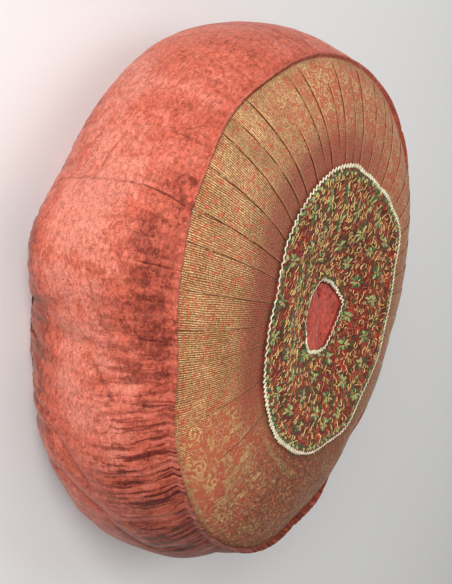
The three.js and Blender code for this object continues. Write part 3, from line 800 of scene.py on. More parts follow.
# %% Make the ring
UNDER_PICK = [RING_ROWS - 1, 20, 14, 8, 1, 0]
top_rows = [(float(mean), DRAFT_TOP) for mean in ring_radius.mean(axis=0)]
under_rows = [(top_rows[pick][0], DRAFT_UNDER) for pick in UNDER_PICK]
pleated = turned("pleated_brocade", top_rows + under_rows, stations, "loop")
row = read_numbers(pleated.data, "row")
station = read_numbers(pleated.data, "station")
is_top = row < RING_ROWS
pick = np.where(is_top, row, np.array(UNDER_PICK)[np.clip(row - RING_ROWS, 0, None)])
angle = ring_angle[station, pick]
radius = ring_radius[station, pick]
height = np.where(is_top, ring_top[station, pick], face_height(angle, radius) + GAP)
place_points(pleated, angle, radius, height)
# painted shade along each pleat edge; below 0, a painted highlight on the lip
paint(pleated, "fold_shade", np.where(is_top, ring_dark[station, pick], 0))
paint(pleated, "figured", outline(FIGURED, angle) * (1 - ramp(0.9, 1.0, inside_share[pick])))
# painted shade, strongest low in the ring
paint(pleated, "painted_low_shade", outline(PAINTED_LOW_SHADE, angle))
paint(pleated, "redder", outline(REDDER, angle))
print("pleated ring:", len(pleated.data.polygons), "faces")

# %% Give the ring the strip's own coordinates
middle = ring_radius.mean(axis=0)
steps = np.hypot(np.diff(middle), np.diff(ring_base.mean(axis=0)))
from_seam = np.cumsum(np.concatenate([[0], steps])[::-1])[::-1]
from_seam = from_seam - from_seam[-1]
unroll(pleated, "strip", ring_u[station, pick] * MM, from_seam[pick] * MM, strip * MM)
smooth(pleated)
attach(pleated, "root")
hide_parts("pleated_ring")

# %% [markdown]
# ## The embroidered ring
# A separate disc of dark red cloth, embroidered by hand before it is sewn over the inner ends of
# the pleats. The cloth is a thin closed sheet. It climbs over the pleats at its outer edge and
# over the velvet patch at its inner edge, and it is slightly quilted by its stitching.

# %% Heights on the embroidered ring
SPREAD_FOLD = {"from": (-27, -103), "to": (-52, -52), "wide": 5, "high": 1.6}
QUILT_HIGH = 0.35
QUILT_MARGIN = 8


def ring_lift(angle, radius):
    """Rise of the embroidered ring above the filled body."""
    over_pleats = CLOTH + PLEAT_DEPTH + GAP
    pleat_end = ring_edge(angle) - UNDERLAP
    patch_end = patch_edge(angle) + PATCH_UNDERLAP
    outside = over_pleats * ramp(pleat_end - STEP_WIDTH, pleat_end - 0.5, radius)
    inside = (CLOTH + GAP) * (1 - ramp(patch_end + 0.5, patch_end + STEP_WIDTH, radius))
    return GAP + np.maximum(outside, inside)


def quilting(x, y):
    """Gentle hills between the stitches, and one soft ridge across the ring."""
    hills = np.sin(x * 0.31 + 1.3 * np.sin(y * 0.17)) * np.sin(y * 0.27 + 1.1 * np.sin(x * 0.13))
    start = np.array(SPREAD_FOLD["from"], float)
    run = np.array(SPREAD_FOLD["to"], float) - start
    share = np.clip(((x - start[0]) * run[0] + (y - start[1]) * run[1]) / (run @ run), 0, 1)
    away = np.hypot(x - start[0] - share * run[0], y - start[1] - share * run[1])
    ridge = SPREAD_FOLD["high"] * np.exp(-(away / SPREAD_FOLD["wide"]) ** 2)
    return QUILT_HIGH * hills + ridge


def cloth_top(x, y):
    """Height of the embroidered ring's upper face at points given in millimetres."""
    angle, radius = to_polar(x, y)
    inside = (ramp(0, QUILT_MARGIN, ring_edge(angle) - radius)
              * ramp(0, QUILT_MARGIN, radius - patch_edge(angle)))
    base = face_height(angle, radius) + ring_lift(angle, radius)
    return base + CLOTH + quilting(x, y) * inside


# %% Embroidered ring cloth
EMBROIDERY_SIDES = 240
EMBROIDERY_ROWS = 30
EMBROIDERY_UNDER = [1.0, 0.93, 0.88, 0.7, 0.45, 0.2, 0.1, 0.0]
RIM_OUT = 0.4
top_shares = np.linspace(0, 1, EMBROIDERY_ROWS)
rows = [(MEAN_PATCH + (MEAN_EDGE - MEAN_PATCH) * s, DRAFT_TOP) for s in top_shares]
rows += [(MEAN_EDGE + RIM_OUT, DRAFT_RIM)]
rows += [(MEAN_PATCH + (MEAN_EDGE - MEAN_PATCH) * s, DRAFT_UNDER) for s in EMBROIDERY_UNDER]
embroidered = turned("embroidered_cloth", rows, EMBROIDERY_SIDES, "loop")
row = read_numbers(embroidered.data, "row")
angle = read_numbers(embroidered.data, "station") * 360.0 / EMBROIDERY_SIDES
under = row > EMBROIDERY_ROWS
share = np.concatenate([top_shares, [1.0], EMBROIDERY_UNDER])[row]
edge = ring_edge(angle)
patch = patch_edge(angle)
radius = patch + (edge - patch) * share
x, y = to_xy(angle, radius)
height = np.where(under, face_height(angle, radius) + ring_lift(angle, radius), cloth_top(x, y))
rim = row == EMBROIDERY_ROWS
radius = np.where(rim, radius + RIM_OUT, radius)
height = np.where(rim, height - CLOTH / 2, height)
place_points(embroidered, angle, radius, height)
smooth(embroidered)
print("embroidered ring:", len(embroidered.data.polygons), "faces")

# %% [markdown]
# ## Stitches
# The embroidery is thread: short zigzags and hooks of cream and salmon thread laid between green
# satin florets. Each could be bump, but thread stands up by its own thickness and catches the
# light, so each is a thin tube. A curve with a round bevel makes all of them at once.

# %% Make tubes from many lines
def tubes(name, lines, thickness, round_steps=0):
    """One mesh of tubes. Each line is (points in millimetres, sizes, whether it closes)."""
    data = bpy.data.curves.new(name, "CURVE")
    data.dimensions = "3D"
    data.bevel_depth = thickness / 2 * MM
    data.bevel_resolution = round_steps
    data.use_fill_caps = True
    data.twist_mode = "Z_UP"
    for points, sizes, closed in lines:
        spline = data.splines.new("POLY")
        spline.points.add(len(points) - 1)
        full = np.concatenate([np.asarray(points) * MM, np.ones((len(points), 1))], axis=1)
        spline.points.foreach_set("co", full.ravel())
        spline.points.foreach_set("radius", np.broadcast_to(sizes, len(points)).astype(float))
        spline.use_cyclic_u = closed
    piece = bpy.data.objects.new(name, data)
    bpy.context.scene.collection.objects.link(piece)
    work_on(piece)
    bpy.ops.object.convert(target="MESH")
    piece = bpy.context.active_object
    piece.name = piece.data.name = name
    bpy.ops.object.shade_smooth()
    return piece


# %% Where the florets sit
FLORET_PITCH_X = 27.0
FLORET_PITCH_Y = 24.0
LONG_PAIRS_FROM = -66
FLORET_FROM_PATCH, FLORET_FROM_EDGE = 11, 12
draw = random.Random(41)
florets = []
for column in range(-5, 6):
    for line in range(-5, 6):
        x = line * FLORET_PITCH_X + (column % 2) * FLORET_PITCH_X / 2 + draw.uniform(-2.5, 2.5)
        y = column * FLORET_PITCH_Y + draw.uniform(-3, 3)
        angle = math.degrees(math.atan2(y, x)) % 360
        radius = math.hypot(x, y)
        long = draw.uniform(8.2, 10.4)
        wide = draw.uniform(5.0, 6.4)
        if x < LONG_PAIRS_FROM:
            long, wide = wide, long + 1.5
        if patch_edge(angle) + FLORET_FROM_PATCH < radius < ring_edge(angle) - FLORET_FROM_EDGE:
            florets.append({"x": x, "y": y, "long": long, "wide": wide, "turn": draw.uniform(-0.3, 0.3)})
print("florets:", len(florets))

# %% Shapes and places of satin stitches
SATIN_HIGH = 1.1
SATIN_SUNK = 0.25


def lozenge(length, width, high):
    """One padded satin stitch, pointing along +X, with its foot at the origin."""
    ring = [(0.0, 0.15), (0.3, 0.8), (0.62, 1.0), (0.88, 0.6), (1.0, 0.1)]
    points = []
    for along, out in ring:
        points.append((along * length, -out * width / 2, 0.0))
        points.append((along * length, -out * width / 4, high * out))
        points.append((along * length, out * width / 4, high * out))
        points.append((along * length, out * width / 2, 0.0))
    faces = []
    for step in range(len(ring) - 1):
        base = step * 4
        for side in range(4):
            across = (side + 1) % 4
            faces.append((base + side, base + 4 + side, base + 4 + across, base + across))
    faces.append((0, 1, 2, 3))
    faces.append(tuple(len(points) - 4 + side for side in (3, 2, 1, 0)))
    return np.array(points), faces


def petals_at(floret, rng):
    """Stitches of one floret, as (x, y, direction, length, width, tint)."""
    petals = rng.choice((9, 10, 11))
    for number in range(petals):
        angle = 2 * math.pi * (number + rng.uniform(0.3, 0.7)) / petals + floret["turn"]
        reach = 1 / math.hypot(math.cos(angle) / floret["wide"], math.sin(angle) / floret["long"])
        x = floret["x"] + 0.12 * reach * math.cos(angle)
        y = floret["y"] + 0.12 * reach * math.sin(angle)
        yield x, y, angle, reach * rng.uniform(0.6, 1.1), rng.uniform(2.2, 3.2), rng.random()


def edge_chain(edge_of, inset, pitch, width, rng):
    """Small leaves in a chain beside an edge, each a stitch that points along it."""
    count = int(2 * math.pi * float(edge_of(0)) / pitch)
    for number in range(count):
        angle = 360.0 * (number + rng.uniform(-0.2, 0.2)) / count
        radius = float(edge_of(angle)) + inset + rng.uniform(-0.6, 0.6)
        x = radius * math.cos(math.radians(angle))
        y = radius * math.sin(math.radians(angle))
        lean = math.radians(angle + 90) + (0.5 if number % 2 else -0.4)
        yield x, y, lean, pitch * rng.uniform(1.1, 1.5), width, rng.random() ** 1.6

# %% Green florets of satin stitch
rng = random.Random(7)
stitches = [stitch for floret in florets for stitch in petals_at(floret, rng)]
stitches += list(edge_chain(ring_edge, inset=-4.4, pitch=3.7, width=3.4, rng=rng))
stitches += list(edge_chain(patch_edge, inset=6.0, pitch=4.4, width=2.4, rng=rng))
blocks, all_faces, tints = [], [], []
for number, (x, y, lean, length, width, tint) in enumerate(stitches):
    points, faces = lozenge(length, width, SATIN_HIGH)
    place_x = x + points[:, 0] * math.cos(lean) - points[:, 1] * math.sin(lean)
    place_y = y + points[:, 0] * math.sin(lean) + points[:, 1] * math.cos(lean)
    blocks.append(np.stack([place_x, place_y, points[:, 2] - SATIN_SUNK], axis=1))
    all_faces += [tuple(number * len(points) + corner for corner in face) for face in faces]
    tints += [tint] * len(points)
all_points = np.concatenate(blocks)
all_points[:, 2] += cloth_top(all_points[:, 0], all_points[:, 1])
mesh = bpy.data.meshes.new("green_florets")
mesh.from_pydata((all_points * MM).tolist(), [], all_faces)
green = bpy.data.objects.new("green_florets", mesh)
bpy.context.scene.collection.objects.link(green)
paint(green, "tint", tints)
work_on(green)
bpy.ops.object.mode_set(mode="EDIT")
bpy.ops.mesh.select_all(action="SELECT")
bpy.ops.mesh.normals_make_consistent(inside=False)
bpy.ops.object.mode_set(mode="OBJECT")
bpy.ops.object.shade_smooth()
print("satin stitches:", len(stitches))

# %% One stitch of thread
STITCH_STEP = 5.2
STITCH_ROW = 2.7
STITCH_POINTS = 5
THREAD = 0.85
DISC = 250
PATCH_MARGIN, EDGE_MARGIN = 4.5, 4.0
FLORET_CLEARANCE = 0.92
CREAM, SALMON, OLIVE = (0.62, 1.0), (0.0, 0.35), (1.5, 1.5)
CREAMIER_LEFT_OF = -45
TINT_WEIGHTS = {"left": (58, 40, 22), "elsewhere": (38, 40, 22)}
FLORET_THREADS = 3
FLORET_THREAD_BEND = np.array([0, 0.4, -0.3, 0.4, 0])
THREAD_FOOT, THREAD_HUMP, OVER_FLORET_RISE = 0.3, 0.25, 0.55


def stitch(x, y, draw):
    """Points of one stitch: a chevron, a short zigzag or a hook."""
    lean = draw.gauss(0, 0.4) - 0.6 * float(ramp(0, 60, x)) * float(ramp(20, -60, y))
    if y > 0 and draw.random() < 0.3:
        lean += 1.2
    length = draw.uniform(2.6, 5.0)
    run = np.linspace(-0.5, 0.5, STITCH_POINTS) * length
    kind = draw.random()
    if kind < 0.4:
        side = draw.uniform(0.8, 1.6) * draw.choice((1, -1)) * np.abs(run) / length * 2
    elif kind < 0.8:
        side = draw.uniform(0.4, 1.0) * np.where(np.arange(STITCH_POINTS) % 2, 1, -1)
    else:
        side = draw.uniform(0.9, 1.6) * np.cos(np.linspace(0, draw.uniform(2.5, 4.5), STITCH_POINTS))
    return np.stack([x + run * math.cos(lean) - side * math.sin(lean),
                     y + run * math.sin(lean) + side * math.cos(lean)], axis=1)


def crossed(points):
    """Whether a line runs over a floret."""
    for floret in florets:
        away = np.hypot((points[:, 0] - floret["x"]) / floret["wide"],
                        (points[:, 1] - floret["y"]) / floret["long"])
        if away.min() < FLORET_CLEARANCE:
            return True
    return False

# %% Lay the stitches
draw = random.Random(19)
flat_lines, thread_tints = [], []
for line in range(int(DISC / STITCH_ROW)):
    for step in range(int(DISC / STITCH_STEP)):
        x = -DISC / 2 + STITCH_STEP * (step + 0.5 * (line % 2)) + draw.uniform(-1.8, 1.8)
        y = -DISC / 2 + STITCH_ROW * line + draw.uniform(-0.8, 0.8)
        points = stitch(x, y, draw)
        weights = TINT_WEIGHTS["left" if x < CREAMIER_LEFT_OF else "elsewhere"]
        tint = draw.uniform(*draw.choices((CREAM, SALMON, OLIVE), weights)[0])
        angle, radius = to_polar(points[:, 0], points[:, 1])
        on_cloth = (radius > patch_edge(angle) + PATCH_MARGIN) & (radius < ring_edge(angle) - EDGE_MARGIN)
        if on_cloth.all() and not crossed(points):
            flat_lines.append(points)
            thread_tints.append(tint)
for floret in florets:
    for number in range(FLORET_THREADS):
        angle = math.tau / FLORET_THREADS * number + draw.uniform(0.2, 1.1)
        reach = 1 / math.hypot(math.cos(angle) / floret["wide"], math.sin(angle) / floret["long"])
        out = np.linspace(0.1, draw.uniform(0.4, 0.7), STITCH_POINTS) * reach
        bent = FLORET_THREAD_BEND
        flat_lines.append(np.stack([floret["x"] + out * math.cos(angle) - bent * math.sin(angle),
                                    floret["y"] + out * math.sin(angle) + bent * math.cos(angle)], axis=1))
        thread_tints.append(draw.uniform(0.6, 1.0))
over_floret = len(flat_lines) - FLORET_THREADS * len(florets)
print("threads between and over the florets:", over_floret, len(flat_lines) - over_floret)

# %% Make the threads
hump = THREAD_FOOT + THREAD_HUMP * np.sin(np.linspace(0, math.pi, STITCH_POINTS))
curls = []
for number, points in enumerate(flat_lines):
    rise = hump + OVER_FLORET_RISE * (number >= over_floret)
    height = cloth_top(points[:, 0], points[:, 1]) + rise
    curls.append((np.concatenate([points, height[:, None]], axis=1), 1.0, False))
threads = tubes("cream_curls", curls, THREAD)
# in the mesh the end caps come first, eight points a line and the last line first, then the tubes
caps = np.repeat(thread_tints[::-1], 8)
paint(threads, "tint", np.concatenate([caps, np.repeat(thread_tints, 4 * STITCH_POINTS)]))
print("threads:", len(curls), "faces:", len(threads.data.polygons))

# %% [markdown]
# ## Zigzag braids
# A cream zigzag braid hides each raw edge of the embroidered ring: one soft cord, caught down at
# every bend. On some stretches it is pushed together and looks thick, on others it is drawn out,
# so the length of a bend, its swing and the cord's thickness each follow a table.

# %% Braids
OUTER_PITCH = {0: 4.4, 60: 4.6, 100: 3.6, 150: 3.8, 182: 4.4, 215: 5.2, 240: 5.4, 290: 5.4, 305: 3.9,
               345: 3.9}
OUTER_SWING = {0: 1.0, 60: 0.9, 110: 1.2, 150: 1.8, 182: 1.8, 215: 1.6, 240: 1.3, 290: 1.3, 306: 1.8,
               322: 2.0, 345: 1.6}
OUTER_THICK = {0: 0.9, 60: 0.8, 110: 1.0, 150: 1.25, 182: 1.25, 215: 1.15, 240: 1.0, 290: 1.0,
               306: 1.25, 322: 1.4, 345: 1.1}
INNER_PITCH = {0: 3.6, 45: 4.4, 90: 4.4, 115: 3.4, 190: 3.4, 210: 5.0, 300: 5.0, 330: 3.6}
INNER_SWING = {0: 1.5, 45: 0.8, 90: 0.8, 115: 1.5, 190: 1.4, 210: 0.6, 300: 0.6, 330: 1.4}
INNER_THICK = {0: 1.25, 45: 0.8, 90: 0.7, 115: 1.25, 190: 1.2, 210: 0.55, 300: 0.5, 330: 1.2}
BEND_STEPS = 8
ROUNDED, ROUNDED_PEAK = 0.97, 1.325
CORD_RISE = 0.42


def zigzag(edge_of, inset, pitches, swings, sizes):
    """One cord that zigzags along an edge, its bends as long as a table says."""
    fine = np.arange(0, 360, 0.05)
    bends = np.cumsum(np.radians(0.05) * edge_of(fine) / outline(pitches, fine))
    whole = round(float(bends[-1]))
    bends *= whole / bends[-1]
    count = np.arange(whole * BEND_STEPS) / BEND_STEPS
    angle = np.interp(count, bends, fine)
    uneven = np.array([draw.uniform(0.6, 1.3) for _ in range(2 * whole)])
    wave = np.arcsin(np.sin(2 * math.pi * count) * ROUNDED) / ROUNDED_PEAK
    wave *= np.repeat(uneven, BEND_STEPS // 2)
    radius = edge_of(angle) + inset + wave * outline(swings, angle)
    x, y = to_xy(angle, radius)
    size = outline(sizes, angle)
    z = cloth_top(x, y) + size * CORD_RISE
    return [(np.stack([x, y, z], axis=1), size, True)]


outer_braid = tubes("outer_cord", zigzag(ring_edge, 0.1, OUTER_PITCH, OUTER_SWING, OUTER_THICK), 1, 1)
inner_braid = tubes("inner_cord", zigzag(patch_edge, 2.0, INNER_PITCH, INNER_SWING, INNER_THICK), 1, 1)
print("braids:", len(outer_braid.data.polygons), len(inner_braid.data.polygons), "faces")

# %% [markdown]
# ## The velvet patch
# A small round of rose velvet closes the middle, where the face dips as if drawn down from behind.
# It is a thin sheet with a few soft folds that run in from its edge.

# %% Velvet patch
PATCH_SIDES = 160
PATCH_TOP = [1.12, 1.0, 0.86, 0.7, 0.52, 0.34, 0.18, 0.07]
PATCH_PUFF, PATCH_LIFT, PATCH_SINK = 0.9, 0.3, -0.7
PATCH_FOLDS = [
    {"at": 215, "wide": 12, "deep": 1.5}, {"at": 160, "wide": 9, "deep": 1.0},
    {"at": 100, "wide": 8, "deep": 0.8}, {"at": 20, "wide": 10, "deep": 1.0},
    {"at": 300, "wide": 9, "deep": 0.9},
]
rows = [(MEAN_PATCH * s, DRAFT_UNDER) for s in PATCH_TOP[::-1]]
rows += [(MEAN_PATCH * s, DRAFT_TOP) for s in PATCH_TOP]
patch_cloth = turned("velvet_patch", rows, PATCH_SIDES, "poles")
row = read_numbers(patch_cloth.data, "row")
angle = read_numbers(patch_cloth.data, "station") * 360.0 / PATCH_SIDES
share = np.array(PATCH_TOP[::-1] + PATCH_TOP)[row]
share = np.where((row == 0) | (row == len(rows) - 1), 0, share)
radius = patch_edge(angle) * share
height = face_height(angle, radius) + GAP + np.where(row >= len(PATCH_TOP), CLOTH, 0)
fold = sum(r["deep"] * hill(angle, r["at"], r["wide"]) for r in PATCH_FOLDS)
lift = PATCH_PUFF * np.sin(math.pi * np.clip(share, 0, 1)) + PATCH_LIFT
bend = (lift - fold * ramp(0.15, 0.6, share)) * (1 - ramp(0.9, 1.02, share))
height += np.where(row >= len(PATCH_TOP), np.maximum(bend, PATCH_SINK), 0)
place_points(patch_cloth, angle, radius, height)
# darker colour along the folds: partly parted pile, partly painted shade
paint(patch_cloth, "parted_pile_and_crease_shade", np.clip(fold * ramp(0.15, 0.6, share) / 2.5, 0, 1))
smooth(patch_cloth)
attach(patch_cloth, "root")
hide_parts("centre_patch")

for piece, node, slot in ((embroidered, "embroidered_ring", "embroidery"),
                          (outer_braid, "outer_braid", "cream_braid"),
                          (inner_braid, "inner_braid", "cream_braid")):
    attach(piece, "root")
    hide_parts(node)
for piece in (green, threads):
    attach(piece, "root")

# %% [markdown]
# ## Shading helpers
# A material is a small network of nodes. Short helpers add a node and join it up, so that each
# recipe below reads as a list of what is mixed with what. Effects that several cloths share, such
# as the pile of velvet or the hairs of a thread, are node groups.

# %% Node helpers
def fill(tree, node, inputs):
    """Set inputs, by socket name or number, to a value or to another socket."""
    for key, value in dict(inputs).items():
        if isinstance(value, bpy.types.NodeSocket):
            tree.links.new(value, node.inputs[key])
        else:
            node.inputs[key].default_value = value
    return node


def add(tree, kind, inputs=(), **settings):
    """Add a node, with its settings and inputs."""
    node = tree.nodes.new(kind)
    for name, value in settings.items():
        setattr(node, name, value)
    return fill(tree, node, inputs)


def maths(tree, operation, first, second=0.0, third=0.0, clamp=False):
    """One sum on numbers. Only MULTIPLY_ADD takes a third."""
    inputs = {0: first, 1: second, 2: third}
    return add(tree, "ShaderNodeMath", inputs, operation=operation, use_clamp=clamp).outputs[0]


def product(tree, first, second):
    """Two numbers multiplied."""
    return maths(tree, "MULTIPLY", first, second)


def rest(tree, value):
    """What a value lacks to 1."""
    return maths(tree, "SUBTRACT", 1.0, value)


def vectors(tree, operation, first, second):
    """One sum on vectors. It gives a vector, or a number for a dot product or a distance."""
    node = add(tree, "ShaderNodeVectorMath", {0: first, 1: second}, operation=operation)
    return node.outputs["Value" if operation in ("DOT_PRODUCT", "DISTANCE") else "Vector"]


def parts(tree, vector):
    """X, y and z of a vector."""
    return add(tree, "ShaderNodeSeparateXYZ", {0: vector}).outputs


def fade(tree, value, start, end, low=0.0, high=1.0):
    """Smooth step of a value between start and end."""
    inputs = {"Value": value, "From Min": start, "From Max": end, "To Min": low, "To Max": high}
    node = add(tree, "ShaderNodeMapRange", inputs, interpolation_type="SMOOTHSTEP")
    return node.outputs["Result"]


def blend(tree, share, first, second, way="MIX"):
    """Mix two colours."""
    inputs = {0: share, 6: first, 7: second}
    return add(tree, "ShaderNodeMix", inputs, data_type="RGBA", blend_type=way).outputs[2]


def times(tree, tone, factor):
    """Multiply a colour by another colour, or by the number in a socket."""
    if isinstance(factor, bpy.types.NodeSocket):
        factor = add(tree, "ShaderNodeCombineColor", {0: factor, 1: factor, 2: factor}).outputs[0]
    return blend(tree, 1.0, tone, factor, "MULTIPLY")


def noise(tree, vector, scale, detail=2.0, roughness=0.5, distortion=0.0):
    """Cloudy noise between 0 and 1, mostly near 0.5. A larger scale makes smaller clouds."""
    inputs = {"Vector": vector, "Scale": scale, "Detail": detail, "Roughness": roughness,
              "Distortion": distortion}
    return add(tree, "ShaderNodeTexNoise", inputs).outputs["Fac"]


def stretched(tree, vector, scale):
    """Places scaled along each axis. A scale below 1 draws the noise out along that axis."""
    return add(tree, "ShaderNodeMapping", {"Vector": vector, "Scale": scale}).outputs["Vector"]


def shaken(tree, place, scale, detail, reach):
    """Shift places a little and unevenly, so that what is drawn there isn't dead straight."""
    shake = add(tree, "ShaderNodeTexNoise", {"Vector": place, "Scale": scale, "Detail": detail})
    shake = vectors(tree, "SUBTRACT", shake.outputs["Color"], (0.5, 0.5, 0.5))
    return vectors(tree, "ADD", place, vectors(tree, "MULTIPLY", shake, (reach, reach, 0.0)))


def ribs(tree, place, pitch):
    """Wave between 0 and 1 that repeats at a pitch."""
    wave = maths(tree, "SINE", product(tree, place, 2 * math.pi / pitch))
    return maths(tree, "MULTIPLY_ADD", wave, 0.5, 0.5)


def colour(red, green_part, blue):
    """Screen colour in 0 to 255 as the linear colour that a shader takes."""
    shares = [part / 255 for part in (red, green_part, blue)]
    return tuple(s / 12.92 if s < 0.04045 else ((s + 0.055) / 1.055) ** 2.4 for s in shares) + (1.0,)


def group(name, inputs, outputs):
    """New node group. Inputs and outputs are (name, kind) pairs."""
    tree = bpy.data.node_groups.new(name, "ShaderNodeTree")
    kinds = {"value": "NodeSocketFloat", "colour": "NodeSocketColor", "vector": "NodeSocketVector"}
    for label, kind in inputs:
        tree.interface.new_socket(label, in_out="INPUT", socket_type=kinds[kind])
    for label, kind in outputs:
        tree.interface.new_socket(label, in_out="OUTPUT", socket_type=kinds[kind])
    start = tree.nodes.new("NodeGroupInput")
    end = tree.nodes.new("NodeGroupOutput")
    return tree, start.outputs, end.inputs


def use(tree, shared, inputs):
    """Place a node group in a tree and return its outputs."""
    return add(tree, "ShaderNodeGroup", inputs, node_tree=shared).outputs


def material(name, roughness, sheen, sheen_roughness, sheen_tint, specular):
    """New material with its constants set on the shader itself."""
    made = bpy.data.materials.new(name)
    made.use_nodes = True
    tree = made.node_tree
    shader = tree.nodes["Principled BSDF"]
    fill(tree, shader, {
        "Roughness": roughness, "Sheen Weight": sheen, "Sheen Roughness": sheen_roughness,
        "Sheen Tint": sheen_tint, "Specular IOR Level": specular})
    return made, tree, shader


def attribute(tree, name):
    """Number that was painted on the points."""
    return add(tree, "ShaderNodeAttribute", attribute_name=name).outputs["Fac"]


def finish_with(tree, shader, base, height, depth, strength, roughness=None):
    """Join a colour, a height and, where it varies, a roughness to the shader."""
    bump = add(tree, "ShaderNodeBump", {"Height": height, "Distance": depth, "Strength": strength})
    fill(tree, shader, {"Base Color": base, "Normal": bump.outputs["Normal"]})
    if roughness is not None:
        tree.links.new(roughness, shader.inputs["Roughness"])

# %% [markdown]
# ## Crushed velvet
# Crushed velvet is one colour of pile, pressed so that it leans every way. Where it leans towards
# the light it is pale, elsewhere it is deep. So the colour follows three sizes of blot: the hand
# sized, the finger sized and the single tuft. A sheen on the shader brightens the turning edges.

# %% Pile group
pile, taken, given = group(
    "crushed pile",
    [("Place", "vector"), ("Deep", "colour"), ("Middle", "colour"), ("Pale", "colour"),
     ("Parted and shaded", "value"), ("Painted light", "value")],
    [("Colour", "colour"), ("Height", "value"), ("Roughness", "value")])
hand = noise(pile, taken["Place"], 19, 3, 0.55, 0.8)
finger = noise(pile, stretched(pile, taken["Place"], (1, 1, 1.5)), 66, 4, 0.62, 0.9)
tuft = noise(pile, stretched(pile, taken["Place"], (1, 1, 1.6)), 260, 4, 0.75, 0.6)
fibre = noise(pile, stretched(pile, taken["Place"], (1, 1, 0.45)), 1500, 2, 0.6)
crush = maths(pile, "MULTIPLY_ADD", hand, 0.34, product(pile, finger, 0.38))
crush = maths(pile, "MULTIPLY_ADD", tuft, 0.28, crush)
# painted highlight and painted shade zones move the crush towards pale or deep
crush = maths(pile, "ADD", crush, taken["Painted light"])
low = fade(pile, crush, 0.38, 0.5)
high = fade(pile, crush, 0.5, 0.66)
tone = blend(pile, low, taken["Deep"], taken["Middle"])
tone = blend(pile, high, tone, taken["Pale"])
speck = maths(pile, "MULTIPLY_ADD", fibre, 0.4, product(pile, tuft, 0.6))
speck = fade(pile, speck, 0.4, 0.58, 0.6, 1.12)
tone = times(pile, tone, speck)
# parted pile and painted shade in gathers and creases darken the colour here
parting_and_shade = product(pile, taken["Parted and shaded"], fade(pile, finger, 0.3, 0.55, 0.45, 1.0))
tone = blend(pile, parting_and_shade, tone, times(pile, tone, (0.3, 0.16, 0.13, 1)))
pile.links.new(tone, given["Colour"])
relief = maths(pile, "MULTIPLY_ADD", finger, 0.5, product(pile, tuft, 0.35))
relief = maths(pile, "MULTIPLY_ADD", parting_and_shade, -0.5, relief)
pile.links.new(maths(pile, "MULTIPLY_ADD", fibre, 0.15, relief), given["Height"])
pile.links.new(fade(pile, crush, 0.3, 0.7, 0.72, 0.5), given["Roughness"])

# %% Crease line group
crease, taken, given = group(
    "crease line", [("Place", "vector"), ("Start", "vector"), ("End", "vector"), ("Width", "value")],
    [("Inside", "value")])
way = vectors(crease, "SUBTRACT", taken["End"], taken["Start"])
off = vectors(crease, "SUBTRACT", taken["Place"], taken["Start"])
shadow = vectors(crease, "DOT_PRODUCT", off, way)
share = maths(crease, "DIVIDE", shadow, vectors(crease, "DOT_PRODUCT", way, way), clamp=True)
nearest = add(crease, "ShaderNodeVectorMath", {0: way, "Scale": share}, operation="SCALE").outputs[0]
away = vectors(crease, "DISTANCE", off, nearest)
taper = product(crease, share, rest(crease, share))
room = product(crease, taken["Width"], fade(crease, taper, 0.0, 0.2, 0.3, 1.0))
crease.links.new(fade(crease, away, room, 0.0), given["Inside"])

# %% Velvet materials
CREASE_WANDER = 0.0035


def velvet(name, deep, middle_tone, pale, sheen_tint, sheen=0.5, creases=()):
    """A velvet in three tones of pile. The case's own velvet also has creases, streaks and shade."""
    made, tree, shader = material(name, 0.6, sheen, 0.35, sheen_tint, 0.25)
    place_in = add(tree, "ShaderNodeTexCoord").outputs["Object"]
    parted_and_shaded = attribute(tree, "parted_pile_and_crease_shade")
    if creases:
        band = add(tree, "ShaderNodeUVMap", uv_map="band").outputs["UV"]
        band = shaken(tree, band, 90.0, 2.0, CREASE_WANDER)
    for row in creases:
        ends = [(row[end][0] * DEGREE, row[end][1] * BAND, 0) for end in ("start", "end")]
        inside = use(tree, crease, {"Place": band, "Start": ends[0], "End": ends[1],
                                    "Width": row["wide"] * MM})["Inside"]
        # each crease adds a dark line: parted pile and painted shade
        parted_and_shaded = maths(tree, "MAXIMUM", parted_and_shaded, product(tree, inside, row["dark"]))
    out = use(tree, pile, {"Place": place_in, "Deep": deep, "Middle": middle_tone, "Pale": pale,
                           "Parted and shaded": parted_and_shaded, "Painted light": attribute(tree, "painted_light_zones")})
    tone = out["Colour"]
    if creases:
        runs = noise(tree, stretched(tree, band, (1.0, 0.16, 1.0)), 210, 3, 0.62, 0.4)
        streaked = attribute(tree, "streaked")
        dark_run = product(tree, streaked, fade(tree, runs, 0.47, 0.58))
        pale_run = product(tree, streaked, fade(tree, runs, 0.46, 0.34))
        tone = blend(tree, dark_run, tone, times(tree, tone, (0.24, 0.12, 0.1, 1)))
        tone = blend(tree, product(tree, pale_run, 0.6), tone, pale)
        shaded = times(tree, tone, (0.42, 0.32, 0.26, 1))
        tone = blend(tree, attribute(tree, "shade"), tone, shaded)
    finish_with(tree, shader, tone, out["Height"], 0.002, 0.7, out["Roughness"])
    return made


coral_velvet = velvet("coral_velvet", colour(146, 60, 44), colour(196, 93, 71), colour(212, 124, 105),
                      (1.0, 0.62, 0.52, 1), 0.34, CREASES)
back_velvet = velvet("back_velvet", colour(138, 52, 38), colour(190, 88, 69), colour(208, 118, 100),
                     (1.0, 0.74, 0.66, 1))
rose_velvet = velvet("rose_velvet", colour(132, 40, 34), colour(206, 80, 62), colour(228, 106, 80),
                     (1.0, 0.7, 0.66, 1), 0.3)
velvet_case.data.materials.append(coral_velvet)
back_panel.data.materials.append(back_velvet)
patch_cloth.data.materials.append(rose_velvet)

# %% [markdown]
# ## Brocade
# A brocade shows its pattern in gold weft floats on a red ground. The floats lie as fine ribs, and
# the figure is where they sink and the red shows: leaves, buds and scrolls in a repeat. The repeat
# is drawn from a few simple shapes, each placed by its centre, its lean and its size.

# %% Leaf and scroll groups
SCROLL_WOUND = 9.5

